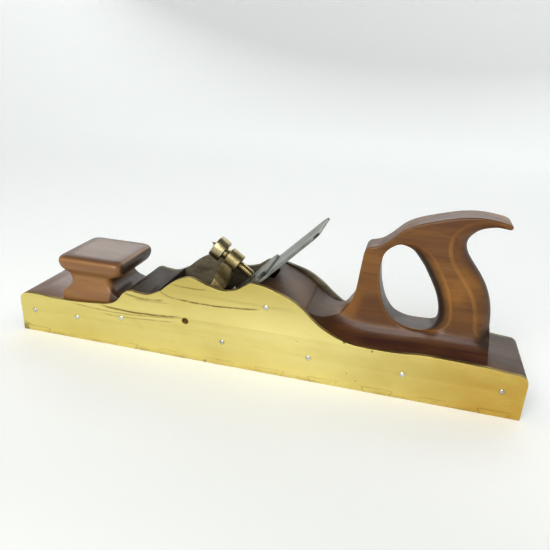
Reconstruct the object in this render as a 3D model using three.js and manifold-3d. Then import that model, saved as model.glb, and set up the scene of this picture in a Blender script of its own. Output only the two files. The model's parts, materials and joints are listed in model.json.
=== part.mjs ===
// Brass-bodied infill bench plane (panel plane) with a mahogany front bun and a closed rear handle.
// Millimetres. +X runs from the toe to the heel, +Z is up, and the origin is under the middle of the sole.
// Outlines are drawn as (distance from the toe, height above the sole's underside). Parts of the cutting
// unit are drawn in the bed's own frame: s runs up the bed from the sole, n stands square off the bed.

import * as THREE from 'three';
import { mergeVertices } from 'three/addons/utils/BufferGeometryUtils.js';
import Module from 'manifold-3d';

const wasm = await Module();
wasm.setup();

// ---------------------------------------------------------------- driving dimensions

const BODY_LENGTH = 450;
const BODY_WIDTH = 66.6;
const PLATE_THICKNESS = 4;
const SOLE_THICKNESS = 4.8;
const FIT = 0.3;                      // clearance between pieces that touch
const TALL = 200;                     // taller than anything, for cutting blocks

const INNER_HALF = BODY_WIDTH / 2 - PLATE_THICKNESS;
const INFILL_HALF = INNER_HALF - FIT;
const INFILL_FLOOR = SOLE_THICKNESS + FIT;

const BED_ANGLE = THREE.MathUtils.degToRad(45.6);
const BED_FOOT = 154.3;               // where the bed's plane meets the sole's underside
const MOUTH_FRONT = 147.9;
const THROAT_TOP = 141;               // rear top edge of the front infill

const DOVETAIL = { count: 10, first: 16.4, pitch: 46, half: 11.5, flare: 1.2 };

const RIVET = { radius: 1.6, headRadius: 2.2, headHeight: 0.8 };
const RIVET_PLACES = [
  [14.4, 22], [59.7, 22.4], [105.6, 29.4], [202.7, 23],
  [240.9, 62.4], [279.3, 22.4], [356.8, 22.3], [432.7, 22.9],
];
const PIVOT = { x: 168.3, z: 37.5, radius: 2.5, recess: 0.6 };

const IRON = { width: 57, thickness: 3.8, topThickness: 2.1, top: 179, edge: -4.0, corner: 5, bevel: 8 };
const IRON_SLOT = { start: 40, end: 108, half: 5.5, eye: 10.5 };
const IRON_SEAT = 0.2;                // gap between the bed and the iron
const CAP_IRON = { thickness: 3.2, top: 121, corner: 6 };
const CAP_SCREW = { s: 70, radius: 3.6, headRadius: 9, headHeight: 3.4, bushRadius: 5.6, flange: 7.5 };
const BED_GROOVE = { start: 55, half: 11, depth: 6 };

const SCREW = { s: 98.7, n: 7, tilt: THREE.MathUtils.degToRad(-9.6), radius: 3.95 };
const BOSS = { from: 15, to: 27.7, radius: 8.5 };          // heights up the screw from its tip
const KNOB = { from: 31.7, to: 42.1, radius: 10, socket: 6, nibRadius: 2, nib: 4 };
const NECK_RADIUS = 5.2;

const HANDLE_HALF = 12.5;
const HANDLE_TOE = 283;
const HANDLE_BACK = 419.6;
const TENON = { from: 338, to: 398, top: 40.5, depth: 16, half: 6 };
// Section of the carved sides under the handle: half-width, and height above the plates' top edge.
const COVE = [[25, 1.7], [20.6, 4.4], [17.4, 7], [14.9, 10.4], [13.2, 14], [HANDLE_HALF, 18]];
// Rounding of the grip: how far in from its edge it reaches and how deep it goes, at its fullest and where
// it runs out. It starts at a soft arris on the handle's flat side and ends at a stop near the foot.
const GRIP = { reach: 14.4, depth: 11.8, endReach: 3, endDepth: 2.4, arris: 0.75, stop: 55.5, fade: 7 };

const BUN = { toe: 42, heel: 107, halfWidth: 32.5 };

// ---------------------------------------------------------------- outlines

// Top edge of each side plate, in stretches that meet at corners.
const CHEEK_FRONT = [
  [17.6, 39.2], [36.6, 37.9], [55.4, 38.2], [74, 39.4], [92.5, 41.6], [101.7, 45.8],
  [109.5, 54.9], [115.2, 57.8], [121.8, 56.9], [133, 56.8], [145.2, 62.3],
];
const CHEEK_MIDDLE = [
  [154.6, 70.6], [164.7, 76.8], [174.3, 78.8], [188.9, 74.1], [200.6, 71.5],
  [207.6, 72.1], [215.2, 74.4], [219.5, 77.4], [224.3, 80.9],
];
const CHEEK_REAR = [
  [229.6, 81.7], [236.9, 81.1], [244.4, 79.1], [260.6, 72.9], [271.3, 66.1], [282.4, 55.9],
  [293.3, 48.8], [305.5, 43.7], [320.4, 40.8], [348.8, 40.6], [369.4, 42.3], [389.7, 42.3],
  [419, 41.1], [434.8, 39.6],
];
// The right plate was filed less behind the bed, so it stands a little higher there.
const CHEEK_REAR_RIGHT = [
  [229.6, 81.7], [236.9, 81.3], [246, 79.8], [262.5, 74.8], [273.5, 68.6], [280, 63.8],
  [286.5, 58], [296, 51], [308, 45.2], [322, 41.4], [348.8, 40.6], [369.4, 42.3], [389.7, 42.3],
  [419, 41.1], [434.8, 39.6],
];
const TOE_CORNER = [[0, 31], [0, 38], [8, 38.9]];           // start, control point, end
const HEEL_CORNER = [[443.5, 39], [450, 38], [450, 31]];

// Moulding of the bun, from its base up: height, distance inside its widest line on the toe side, on the
// flanks and on the heel side, and the radius of its corners in plan. The hollow under the slab is deepest
// on the heel side, where the fingers curl round it.
const BUN_MOULDING = [
  [37, 1, 3.6, 1, 3], [44, 1.2, 4, 2.2, 3], [47, 3.6, 4.8, 6.4, 4], [50, 6.6, 6, 11.4, 5],
  [54, 8.4, 6.9, 14.6, 6], [58, 8.4, 7, 15.4, 6], [61.5, 6.9, 6.4, 12.2, 7], [64.1, 5, 5, 7, 8],
  [66.3, 3.2, 3.2, 3.2, 8], [69.5, 1.1, 1.1, 1.1, 8], [73, 0.1, 0.1, 0.1, 8], [75.5, 0, 0, 0, 8],
  [78.6, 1.2, 1.2, 1.2, 7.5], [80.5, 4.4, 4.4, 4.4, 6],
];

// Handle: outer edge from the foot in front, over the horn and down the back, then the hand hole.
const HANDLE_FRONT = [[293.3, 56], [299.2, 57.9], [302.6, 60.9], [306, 66.2], [309, 72], [311, 83], [312.3, 97],
  [313.8, 112]];
const HANDLE_BROW = [[326, 121.2], [333, 126.5], [343, 136.2], [354, 142.2], [372.8, 148], [385, 150.9],
  [398, 152], [410.5, 150.8], [416.8, 149.4]];
const HORN_UNDER = [415, 145.4];
const HANDLE_BACK_CURVE = [[408.3, 145], [399.5, 142], [393.8, 137.1], [390.8, 131], [391.2, 125],
  [394.8, 118], [405.4, 104.3], [411.6, 94], [415.8, 83.3], [418.2, 72.2], [419.4, 60.6], [HANDLE_BACK, 53]];
// The hand hole, in three stretches; the back one is the front of the grip, which is rounded for the fingers.
const HOLE_FRONT = [[328, 107.4], [328.2, 96], [330.3, 83.3], [334.5, 70.9], [341.2, 61.2], [349.5, 56.5],
  [358, 54.6]];
const HOLE_BACK = [[367, 54.6], [373.4, 56.2], [377, 60], [378.1, 65.5], [377.7, 71.5], [376, 78.5], [373.5, 85.2],
  [370.1, 91.9], [366, 99], [361.3, 106.6], [356.3, 113], [351.2, 118.8], [346.7, 122.3], [341, 123.9]];
const HOLE_TOP = [[335.2, 121], [330.2, 115.4]];

// ---------------------------------------------------------------- materials

const paint = (color, roughness, metalness) => new THREE.MeshStandardMaterial({ color, roughness, metalness });
const BRASS = paint(0xcdb45a, 0.32, 1);
const AGED_BRASS = paint(0x9a8448, 0.38, 1);
const MAHOGANY = paint(0x6d4326, 0.28, 0);
const STEEL = paint(0xa3a49c, 0.35, 1);
const DARK_STEEL = paint(0x4a3c2c, 0.55, 1);

// ---------------------------------------------------------------- geometry helpers

function toSolid(geometry) {
  const bare = geometry.clone();
  bare.deleteAttribute('normal');
  bare.deleteAttribute('uv');
  const welded = mergeVertices(bare, 1e-4);
  const mesh = new wasm.Mesh({
    numProp: 3,
    vertProperties: new Float32Array(welded.attributes.position.array),
    triVerts: new Uint32Array(welded.index.array),
  });
  return new wasm.Manifold(mesh);
}

function toGeometry(solid) {
  const mesh = solid.getMesh();
  const geometry = new THREE.BufferGeometry();
  geometry.setAttribute('position', new THREE.BufferAttribute(new Float32Array(mesh.vertProperties), 3));
  geometry.setIndex(new THREE.BufferAttribute(new Uint32Array(mesh.triVerts), 1));
  geometry.computeVertexNormals();
  return geometry;
}

function polygon(points) {
  return new THREE.Shape(points.map(([x, y]) => new THREE.Vector2(x, y)));
}

const vectors = (points) => points.map(([x, y]) => new THREE.Vector2(x, y));

// A shape drawn in side view, extruded across the tool from y = from to y = to.
function across(shape, from, to, curveSegments = 2) {
  const geometry = new THREE.ExtrudeGeometry(shape, { depth: to - from, bevelEnabled: false, curveSegments });
  geometry.rotateX(Math.PI / 2);
  geometry.translate(0, to, 0);
  return geometry;
}

// A shape drawn as (across the tool, height), extruded along the tool.
function along(shape, from, to, curveSegments = 2) {
  const geometry = new THREE.ExtrudeGeometry(shape, { depth: to - from, bevelEnabled: false, curveSegments });
  geometry.rotateX(Math.PI / 2);
  geometry.rotateZ(Math.PI / 2);
  geometry.translate(from, 0, 0);
  return geometry;
}

// A shape drawn in plan, extruded upwards.
function upward(shape, from, to, curveSegments = 8) {
  const geometry = new THREE.ExtrudeGeometry(shape, { depth: to - from, bevelEnabled: false, curveSegments });
  geometry.translate(0, 0, from);
  return geometry;
}

function crossPin(x, z, radius, length, sides = 16) {
  const geometry = new THREE.CylinderGeometry(radius, radius, length, sides);
  geometry.translate(x, 0, z);
  return geometry;
}

function upright(radius, from, to, sides = 24) {
  const geometry = new THREE.CylinderGeometry(radius, radius, to - from, sides);
  geometry.rotateX(Math.PI / 2);
  geometry.translate(0, 0, (from + to) / 2);
  return geometry;
}

// A turned piece: profile points are (radius, height up the axis).
function turned(profile, sides = 28) {
  const geometry = new THREE.LatheGeometry(vectors(profile), sides);
  geometry.rotateX(Math.PI / 2);
  return geometry;
}

// Closed solid through a row of rings, each with the same number of points listed the same way round;
// flat is one ring's outline in its own plane, for closing the two ends.
function lofted(rings, flat) {
  const count = flat.length;
  const last = (rings.length - 1) * count;
  const index = [];
  for (let start = 0; start < last; start += count) {
    for (let k = 0; k < count; k += 1) {
      const a = start + k;
      const b = start + (k + 1) % count;
      index.push(a, b, b + count, a, b + count, a + count);
    }
  }
  THREE.ShapeUtils.triangulateShape(vectors(flat), []).forEach(([a, b, c]) => {
    index.push(c, b, a, last + a, last + b, last + c);
  });
  const geometry = new THREE.BufferGeometry();
  geometry.setAttribute('position', new THREE.BufferAttribute(new Float32Array(rings.flat(2)), 3));
  geometry.setIndex(index);
  return geometry;
}

function piece(name, geometry, material) {
  const mesh = new THREE.Mesh(geometry, material);
  mesh.name = name;
  return mesh;
}

function cutHoles(solid, places, radius, length) {
  return places.reduce((rest, [x, z]) => rest.subtract(toSolid(crossPin(x, z, radius, length))), solid);
}

// ---------------------------------------------------------------- body

// Side view of the body: flat sole line, square toe and heel, and the shaped top edge.
function bodyOutline(rear = CHEEK_REAR) {
  const shape = new THREE.Shape();
  shape.moveTo(0, 0);
  shape.lineTo(...TOE_CORNER[0]);
  shape.quadraticCurveTo(...TOE_CORNER[1], ...TOE_CORNER[2]);
  shape.splineThru(vectors(CHEEK_FRONT));
  shape.splineThru(vectors(CHEEK_MIDDLE));
  shape.splineThru(vectors(rear));
  shape.lineTo(...HEEL_CORNER[0]);
  shape.quadraticCurveTo(...HEEL_CORNER[1], ...HEEL_CORNER[2]);
  shape.lineTo(BODY_LENGTH, 0);
  return shape;
}

// The tab of the sole that fills a socket in each side plate; wider at the top, so it can't pull out.
function dovetail(index, grow) {
  const middle = DOVETAIL.first + index * DOVETAIL.pitch;
  const low = DOVETAIL.half - DOVETAIL.flare + grow;
  const high = DOVETAIL.half + DOVETAIL.flare + grow;
  const bottom = grow > 0 ? -1 : 0;
  return polygon([[middle - low, bottom], [middle + low, bottom],
    [middle + high, SOLE_THICKNESS + grow], [middle - high, SOLE_THICKNESS + grow]]);
}

function mouthCut() {
  const slope = 1 / Math.tan(BED_ANGLE);
  const rear = BED_FOOT + FIT;
  const above = 10;
  return polygon([[MOUTH_FRONT, -1], [rear - slope, -1], [rear + above * slope, above], [MOUTH_FRONT, above]]);
}

function solePlate() {
  const base = polygon([[0, 0], [BODY_LENGTH, 0], [BODY_LENGTH, SOLE_THICKNESS], [0, SOLE_THICKNESS]]);
  let solid = toSolid(across(base, -INFILL_HALF, INFILL_HALF));
  for (let i = 0; i < DOVETAIL.count; i += 1) {
    solid = solid.add(toSolid(across(dovetail(i, 0), -BODY_WIDTH / 2, BODY_WIDTH / 2)));
  }
  const mouthHalf = IRON.width / 2 + 0.5;
  solid = solid.subtract(toSolid(across(mouthCut(), -mouthHalf, mouthHalf)));
  return piece('sole_plate', toGeometry(solid), BRASS);
}

function sidePlate(name, side, rear) {
  const inner = side * INNER_HALF;
  const outer = side * BODY_WIDTH / 2;
  let solid = toSolid(across(bodyOutline(rear), Math.min(inner, outer), Math.max(inner, outer)));
  for (let i = 0; i < DOVETAIL.count; i += 1) {
    solid = solid.subtract(toSolid(across(dovetail(i, FIT), -BODY_WIDTH, BODY_WIDTH)));
  }
  solid = cutHoles(solid, RIVET_PLACES, RIVET.radius + FIT, BODY_WIDTH * 2);
  solid = cutHoles(solid, [[PIVOT.x, PIVOT.z]], PIVOT.radius + FIT, BODY_WIDTH * 2);
  return piece(name, toGeometry(solid), BRASS);
}

function rivet(name, [x, z]) {
  const plate = BODY_WIDTH / 2;
  const face = plate + 0.05;
  const crown = plate + RIVET.headHeight;
  const shoulder = plate + RIVET.headHeight * 0.55;
  const profile = [
    [0, -crown], [RIVET.headRadius * 0.65, -shoulder - 0.15], [RIVET.headRadius, -face], [RIVET.radius, -face],
    [RIVET.radius, face], [RIVET.headRadius, face], [RIVET.headRadius * 0.65, shoulder + 0.15], [0, crown],
  ];
  const geometry = new THREE.LatheGeometry(vectors(profile), 14);
  const mesh = piece(name, geometry, STEEL);
  mesh.position.set(x, 0, z);
  return mesh;
}

// ---------------------------------------------------------------- wooden infills

// Rectangle in plan with round corners, as points listed anticlockwise.
function roundedRectangle(low, high, half, radius) {
  const corners = [[high - radius, half - radius], [low + radius, half - radius],
    [low + radius, radius - half], [high - radius, radius - half]];
  const steps = [0, 1, 2, 3];
  return corners.flatMap(([x, y], quarter) => steps.map((step) => {
    const angle = (quarter + step / 3) * (Math.PI / 2);
    return [x + radius * Math.cos(angle), y + radius * Math.sin(angle)];
  }));
}

function bunSolid() {
  const plans = BUN_MOULDING.map(([z, toe, flank, heel, radius]) => (
    { z, ring: roundedRectangle(BUN.toe + toe, BUN.heel - heel, BUN.halfWidth - flank, radius) }
  ));
  return toSolid(lofted(plans.map(({ z, ring }) => ring.map(([x, y]) => [x, y, z])), plans[0].ring));
}

function frontInfill() {
  const block = toSolid(across(bodyOutline(), -INFILL_HALF, INFILL_HALF));
  const region = polygon([[-1, INFILL_FLOOR], [MOUTH_FRONT - 0.4, INFILL_FLOOR], [THROAT_TOP, 55],
    [THROAT_TOP, TALL], [-1, TALL]]);
  let solid = block.intersect(toSolid(across(region, -BODY_WIDTH, BODY_WIDTH)));
  solid = solid.add(bunSolid());
  solid = cutHoles(solid, RIVET_PLACES.slice(0, 3), RIVET.radius + FIT, BODY_WIDTH * 2);
  return piece('front_infill', toGeometry(solid), MAHOGANY);
}

function rearInfill() {
  const block = toSolid(across(bodyOutline(), -INFILL_HALF, INFILL_HALF));
  const slope = 1 / Math.tan(BED_ANGLE);
  const bedAt = (z) => BED_FOOT + z * slope;
  const region = polygon([[bedAt(INFILL_FLOOR), INFILL_FLOOR], [BODY_LENGTH + 1, INFILL_FLOOR],
    [BODY_LENGTH + 1, TALL], [bedAt(TALL), TALL]]);
  let solid = block.intersect(toSolid(across(region, -BODY_WIDTH, BODY_WIDTH)));
  const groove = new THREE.BoxGeometry(TALL, BED_GROOVE.half * 2, BED_GROOVE.depth * 2);
  groove.translate(BED_GROOVE.start + TALL / 2, 0, 0);
  groove.rotateY(-BED_ANGLE);
  groove.translate(BED_FOOT, 0, 0);
  solid = solid.subtract(toSolid(groove));
  const mortise = new THREE.BoxGeometry(TENON.to - TENON.from + 2 * FIT, 2 * (TENON.half + FIT), TALL);
  mortise.translate((TENON.from + TENON.to) / 2, 0, TENON.top - TENON.depth - FIT + TALL / 2);
  solid = solid.subtract(toSolid(mortise));
  solid = cutHoles(solid, RIVET_PLACES.slice(3), RIVET.radius + FIT, BODY_WIDTH * 2);
  return piece('rear_infill', toGeometry(solid), MAHOGANY);
}

// ---------------------------------------------------------------- handle

function handleOutline() {
  const shape = new THREE.Shape();
  shape.moveTo(HANDLE_TOE, 30);
  shape.lineTo(HANDLE_TOE, 56.7);
  shape.splineThru(vectors(HANDLE_FRONT));
  shape.quadraticCurveTo(314.4, 118.4, 319, 118.9);
  shape.splineThru(vectors(HANDLE_BROW));
  shape.quadraticCurveTo(419.9, 148.6, 419.6, 146.4);
  shape.quadraticCurveTo(419.2, 144.4, ...HORN_UNDER);
  shape.splineThru(vectors(HANDLE_BACK_CURVE));
  shape.lineTo(HANDLE_BACK, 30);
  const hole = new THREE.Path();
  hole.moveTo(...HOLE_FRONT[0]);
  hole.splineThru(vectors([...HOLE_FRONT.slice(1), ...HOLE_BACK, ...HOLE_TOP]));
  shape.holes.push(hole);
  return shape;
}

// Height of the body's top edge at a distance from the toe.
function topEdge(x) {
  const edge = bodyOutline().getPoints(4).filter((point) => point.y > 25).sort((a, b) => a.x - b.x);
  const next = edge.findIndex((point) => point.x >= x);
  return THREE.MathUtils.mapLinear(x, edge[next - 1].x, edge[next].x, edge[next - 1].y, edge[next].y);
}

// The handle's flat sides run down into a cove that spreads over the infill and follows its top edge.
function coveSolid() {
  const section = (edge) => {
    const right = [[INFILL_HALF, 0], [INFILL_HALF, edge], ...COVE.map(([half, rise]) => [half, edge + rise]),
      [HANDLE_HALF, TALL]];
    return [...right, ...right.map(([half, z]) => [-half, z]).reverse()];
  };
  const stations = Array.from({ length: 30 }, (_, i) => HANDLE_TOE - 1 + i * 4.8);
  const rings = stations.map((x) => section(topEdge(x)).map(([y, z]) => [x, y, z]));
  return toSolid(lofted(rings, section(topEdge(stations[0]))));
}

// Cutter that rounds one edge of the grip. The path runs along the edge with the wood on its right, and
// fullness(t, height) is how full the rounding is at each place along it.
function roundingCutter(side, path, fullness) {
  const section = (share) => {
    const reach = THREE.MathUtils.lerp(GRIP.endReach, GRIP.reach, share);
    const depth = THREE.MathUtils.lerp(GRIP.endDepth, GRIP.depth, share);
    const fullRise = Math.sqrt(1 - (1 - GRIP.arris) ** 2);
    const curve = [0, 0.06, 0.2, 0.42, 0.7, 1].map((u) => {
      const rise = Math.sqrt(1 - (1 - GRIP.arris * u) ** 2) / fullRise;
      return [reach * u, side * (HANDLE_HALF - depth * (1 - rise))];
    });
    const ring = [[-2, curve[0][1]], ...curve, [reach, side * (HANDLE_HALF + 1)], [-2, side * (HANDLE_HALF + 1)]];
    return side > 0 ? ring : ring.reverse();
  };
  const rings = Array.from({ length: 24 }, (_, i) => i / 23).map((t) => {
    const at = path.getPoint(t);
    const tangent = path.getTangent(t);
    return section(fullness(t, at.y)).map(([inward, y]) => (
      [at.x + tangent.y * inward, y, at.y - tangent.x * inward]
    ));
  });
  return toSolid(lofted(rings, section(1)));
}

// Both sides of the grip are rounded: behind for the palm, from the horn's tip down to the stop, and in
// front, inside the hand hole, for the fingers.
function roundGrip(handle) {
  const stop = HANDLE_BACK_CURVE.findIndex(([, z]) => z < GRIP.stop + GRIP.fade);
  const palm = new THREE.SplineCurve(vectors([HORN_UNDER, ...HANDLE_BACK_CURVE.slice(0, stop), [419.5, GRIP.stop]]));
  const palmFullness = (t, z) => Math.min(1, 3.3 * t) ** 0.8 * Math.min(1, (z - GRIP.stop) / GRIP.fade);
  const fingers = new THREE.SplineCurve(vectors(HOLE_BACK));
  const fingerFullness = (t) => 0.84 * Math.min(1, 5 * t, 4.5 * (1 - t));
  return [1, -1].reduce((solid, side) => solid
    .subtract(roundingCutter(side, palm, palmFullness))
    .subtract(roundingCutter(side, fingers, fingerFullness)), handle);
}

function rearHandle() {
  let solid = toSolid(across(handleOutline(), -INFILL_HALF, INFILL_HALF));
  solid = roundGrip(solid.intersect(coveSolid()));
  const seat = across(bodyOutline(), -BODY_WIDTH, BODY_WIDTH);
  seat.translate(0, 0, FIT);
  solid = solid.subtract(toSolid(seat));
  const tenon = new THREE.BoxGeometry(TENON.to - TENON.from, 2 * TENON.half, TENON.depth + 6);
  tenon.translate((TENON.from + TENON.to) / 2, 0, TENON.top - TENON.depth / 2 + 3);
  solid = solid.add(toSolid(tenon));
  return piece('rear_handle', toGeometry(solid), MAHOGANY);
}

// ---------------------------------------------------------------- cutting unit, in the bed's frame

// Height above the bed of the tapered iron's front face.
function ironFace(s) {
  return IRON_SEAT + THREE.MathUtils.lerp(IRON.thickness, IRON.topThickness, Math.max(s, 0) / IRON.top);
}

function cuttingIron() {
  const side = polygon([[IRON.edge, ironFace(0)], [IRON.edge + IRON.bevel, IRON_SEAT], [IRON.top, IRON_SEAT],
    [IRON.top, ironFace(IRON.top)], [0, ironFace(0)]]);
  const half = IRON.width / 2;
  const plan = clippedPlan(-20, IRON.top, half, IRON.corner);
  let solid = toSolid(across(side, -half, half)).intersect(toSolid(upward(plan, -5, 10)));
  const slot = new THREE.Shape();
  slot.absarc(IRON_SLOT.start, 0, IRON_SLOT.half, Math.PI / 2, 1.5 * Math.PI, false);
  slot.absarc(IRON_SLOT.end, 0, IRON_SLOT.half, -Math.PI / 2, Math.PI / 2, false);
  const eye = upright(IRON_SLOT.eye, -5, 10);
  eye.translate(IRON_SLOT.start, 0, 0);
  solid = solid.subtract(toSolid(upward(slot, -5, 10))).subtract(toSolid(eye));
  return piece('cutting_iron', toGeometry(solid), STEEL);
}

// A rectangle in plan with its two top corners clipped.
function clippedPlan(from, top, half, corner) {
  return polygon([[from, -half], [top - corner, -half], [top, corner - half],
    [top, half - corner], [top - corner, half], [from, half]]);
}

const capIronUnderside = (s) => ironFace(s) + 0.2;

// The cap iron springs over a hump near the edge, then lies flat on the iron.
function capIron() {
  const rest = capIronUnderside(0);
  const thickness = CAP_IRON.thickness;
  const shape = new THREE.Shape();
  shape.moveTo(IRON.edge + 1.6, rest);
  shape.splineThru(vectors([[5, rest + 1.1], [12, rest + 1.4], [20, rest + 0.6], [28, capIronUnderside(28)]]));
  shape.lineTo(CAP_IRON.top, capIronUnderside(CAP_IRON.top));
  shape.lineTo(CAP_IRON.top, capIronUnderside(CAP_IRON.top) + thickness);
  shape.lineTo(28, capIronUnderside(28) + thickness);
  shape.splineThru(vectors([[20, rest + 3.7], [12, rest + 4.2], [5, rest + 3.4], [0.5, rest + 1.7]]));
  const half = IRON.width / 2;
  const hole = upright(CAP_SCREW.bushRadius + FIT, -5, 20);
  hole.translate(CAP_SCREW.s, 0, 0);
  const plan = upward(clippedPlan(-20, CAP_IRON.top, half, CAP_IRON.corner), -5, 20);
  const solid = toSolid(across(shape, -half, half, 3)).intersect(toSolid(plan)).subtract(toSolid(hole));
  return piece('cap_iron', toGeometry(solid), STEEL);
}

function capIronBush() {
  const low = capIronUnderside(CAP_SCREW.s) + 0.2;
  const deck = capIronUnderside(CAP_SCREW.s) + CAP_IRON.thickness + FIT;
  const bore = CAP_SCREW.radius + FIT;
  const profile = [[bore, low], [CAP_SCREW.bushRadius, low], [CAP_SCREW.bushRadius, deck],
    [CAP_SCREW.flange, deck], [CAP_SCREW.flange, deck + 1.7], [CAP_SCREW.flange - 0.5, deck + 2.2],
    [bore, deck + 2.2], [bore, low]];
  const mesh = piece('cap_iron_bush', turned(profile), AGED_BRASS);
  mesh.position.set(CAP_SCREW.s, 0, 0);
  return mesh;
}

function capIronScrew() {
  const { radius, headRadius, headHeight } = CAP_SCREW;
  const underHead = IRON_SEAT - FIT;
  const head = underHead - headHeight;
  const end = capIronUnderside(CAP_SCREW.s) + CAP_IRON.thickness + 1.9;
  const profile = [[0, head], [headRadius - 0.6, head], [headRadius, head + 0.6], [headRadius, underHead],
    [radius, underHead], [radius, end], [0, end]];
  const slot = new THREE.BoxGeometry(headRadius * 3, 1.4, 2.4);
  slot.translate(0, 0, head);
  const solid = toSolid(turned(profile)).subtract(toSolid(slot));
  const mesh = piece('cap_iron_screw', toGeometry(solid), DARK_STEEL);
  mesh.position.set(CAP_SCREW.s, 0, 0);
  return mesh;
}

// Point of the bed's frame that lies on the lever cap's pivot.
function pivotInBed() {
  const dx = PIVOT.x - BED_FOOT;
  return {
    s: dx * Math.cos(BED_ANGLE) + PIVOT.z * Math.sin(BED_ANGLE),
    n: PIVOT.z * Math.cos(BED_ANGLE) - dx * Math.sin(BED_ANGLE),
  };
}

// Lever cap: a cast bar, thick at the pivot, whose nose presses the cap iron's hump and whose narrow
// neck carries the boss that the thumb screw runs in.
function leverCap() {
  const side = new THREE.Shape();
  side.moveTo(9.6, 10);
  side.quadraticCurveTo(9.8, 9, 11.6, 8.95);
  side.splineThru(vectors([[18, 10.2], [30, 11], [45, 11.6], [60, 12.6], [74, 14], [82, 16.8], [90, 22.3]]));
  side.lineTo(96, 24);
  side.lineTo(93, 34);
  side.splineThru(vectors([[84, 32], [75.6, 28.8], [67, 25.2], [52, 24.4], [36.6, 24.4], [24, 21.6], [14, 15]]));
  side.lineTo(9.6, 10);
  const plan = new THREE.Shape();
  const half = INNER_HALF - 0.7;
  plan.moveTo(0, -half);
  plan.lineTo(50, -half);
  plan.bezierCurveTo(62, -half, 58, -9, 78, -7.6);
  plan.lineTo(96, -7.4);
  plan.lineTo(96, 7.4);
  plan.lineTo(78, 7.6);
  plan.bezierCurveTo(58, 9, 62, half, 50, half);
  plan.lineTo(0, half);
  const body = toSolid(across(side, -half, half)).intersect(toSolid(upward(plan, 0, 60)));
  const boss = toSolid(onScrewAxis(upright(BOSS.radius, BOSS.from, BOSS.to, 32)));
  const bore = toSolid(onScrewAxis(upright(SCREW.radius + FIT, -5, 60)));
  const pivot = pivotInBed();
  const hole = toSolid(crossPin(pivot.s, pivot.n, PIVOT.radius + FIT, BODY_WIDTH * 2, 20));
  return piece('lever_cap', toGeometry(body.add(boss).subtract(bore).subtract(hole)), AGED_BRASS);
}

function onScrewAxis(geometry) {
  geometry.rotateY(SCREW.tilt);
  geometry.translate(SCREW.s, 0, SCREW.n);
  return geometry;
}

function screwShank() {
  const profile = [[0, 0], [1, 0], [2.8, 0.6], [SCREW.radius, 1.8], [SCREW.radius, BOSS.to + 0.6],
    [NECK_RADIUS, BOSS.to + 0.6], [NECK_RADIUS, KNOB.from - FIT], [SCREW.radius, KNOB.from - FIT],
    [SCREW.radius, KNOB.from + KNOB.socket - FIT], [0, KNOB.from + KNOB.socket - FIT]];
  return piece('thumb_screw_shank', turned(profile), BRASS);
}

function screwKnob() {
  const bore = SCREW.radius + FIT;
  const profile = [[0, KNOB.from + KNOB.socket], [bore, KNOB.from + KNOB.socket], [bore, KNOB.from],
    [KNOB.radius - 0.8, KNOB.from], [KNOB.radius, KNOB.from + 0.8], [KNOB.radius, KNOB.to - 0.9],
    [KNOB.radius - 0.9, KNOB.to], [KNOB.nibRadius, KNOB.to], [0, KNOB.to + KNOB.nib]];
  return piece('thumb_screw_knob', turned(profile, 36), AGED_BRASS);
}

function pivotPin() {
  const length = BODY_WIDTH - 2 * PIVOT.recess;
  const mesh = piece('lever_cap_pin', crossPin(0, 0, PIVOT.radius, length, 20), DARK_STEEL);
  mesh.position.set(PIVOT.x, 0, PIVOT.z);
  return mesh;
}

// ---------------------------------------------------------------- assembly

const screwUnit = new THREE.Group();
screwUnit.position.set(SCREW.s, 0, SCREW.n);
screwUnit.rotation.y = SCREW.tilt;
screwUnit.add(screwShank(), screwKnob());

const cuttingUnit = new THREE.Group();
cuttingUnit.position.set(BED_FOOT, 0, 0);
cuttingUnit.rotation.y = -BED_ANGLE;
cuttingUnit.add(cuttingIron(), capIron(), capIronBush(), capIronScrew(), leverCap(), screwUnit);

const plane = new THREE.Group();
plane.position.set(-BODY_LENGTH / 2, 0, 0);
plane.add(solePlate());
plane.add(sidePlate('left_side_plate', -1, CHEEK_REAR), sidePlate('right_side_plate', 1, CHEEK_REAR_RIGHT));
plane.add(frontInfill(), rearInfill(), rearHandle(), pivotPin());
RIVET_PLACES.forEach((place, i) => plane.add(rivet(`cross_rivet_${i + 1}`, place)));
plane.add(cuttingUnit);

const group = new THREE.Group();
group.add(plane);

export default group;
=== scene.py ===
"""Looks of the infill bench plane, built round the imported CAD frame.

Outlines are in millimetres, drawn as (distance from the toe, height above the sole's underside), and
turned into metres in the row frame when a mesh is made. Parts of the cutting unit are drawn in the bed's
own frame: s runs up the bed from the sole, n stands square off the bed.
"""

import json
import math
import random

import bmesh
import bpy
import numpy as np
from mathutils import Matrix, Vector
from mathutils.geometry import delaunay_2d_cdt


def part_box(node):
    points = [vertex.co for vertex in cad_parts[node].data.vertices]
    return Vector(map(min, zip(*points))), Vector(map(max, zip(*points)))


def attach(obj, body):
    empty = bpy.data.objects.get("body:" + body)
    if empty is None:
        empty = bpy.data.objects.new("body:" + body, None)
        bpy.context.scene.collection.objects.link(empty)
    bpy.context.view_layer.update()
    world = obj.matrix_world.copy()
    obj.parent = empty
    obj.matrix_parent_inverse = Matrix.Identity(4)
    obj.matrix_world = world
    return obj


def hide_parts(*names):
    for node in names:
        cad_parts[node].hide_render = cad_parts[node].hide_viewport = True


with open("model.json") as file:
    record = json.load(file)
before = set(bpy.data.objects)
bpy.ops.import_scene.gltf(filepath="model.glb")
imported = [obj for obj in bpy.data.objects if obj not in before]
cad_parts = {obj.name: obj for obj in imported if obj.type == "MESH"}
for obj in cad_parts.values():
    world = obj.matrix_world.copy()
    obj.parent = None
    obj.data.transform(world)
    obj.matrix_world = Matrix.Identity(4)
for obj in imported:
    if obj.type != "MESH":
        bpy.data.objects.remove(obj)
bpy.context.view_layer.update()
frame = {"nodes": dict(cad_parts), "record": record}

MM = 0.001

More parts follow.
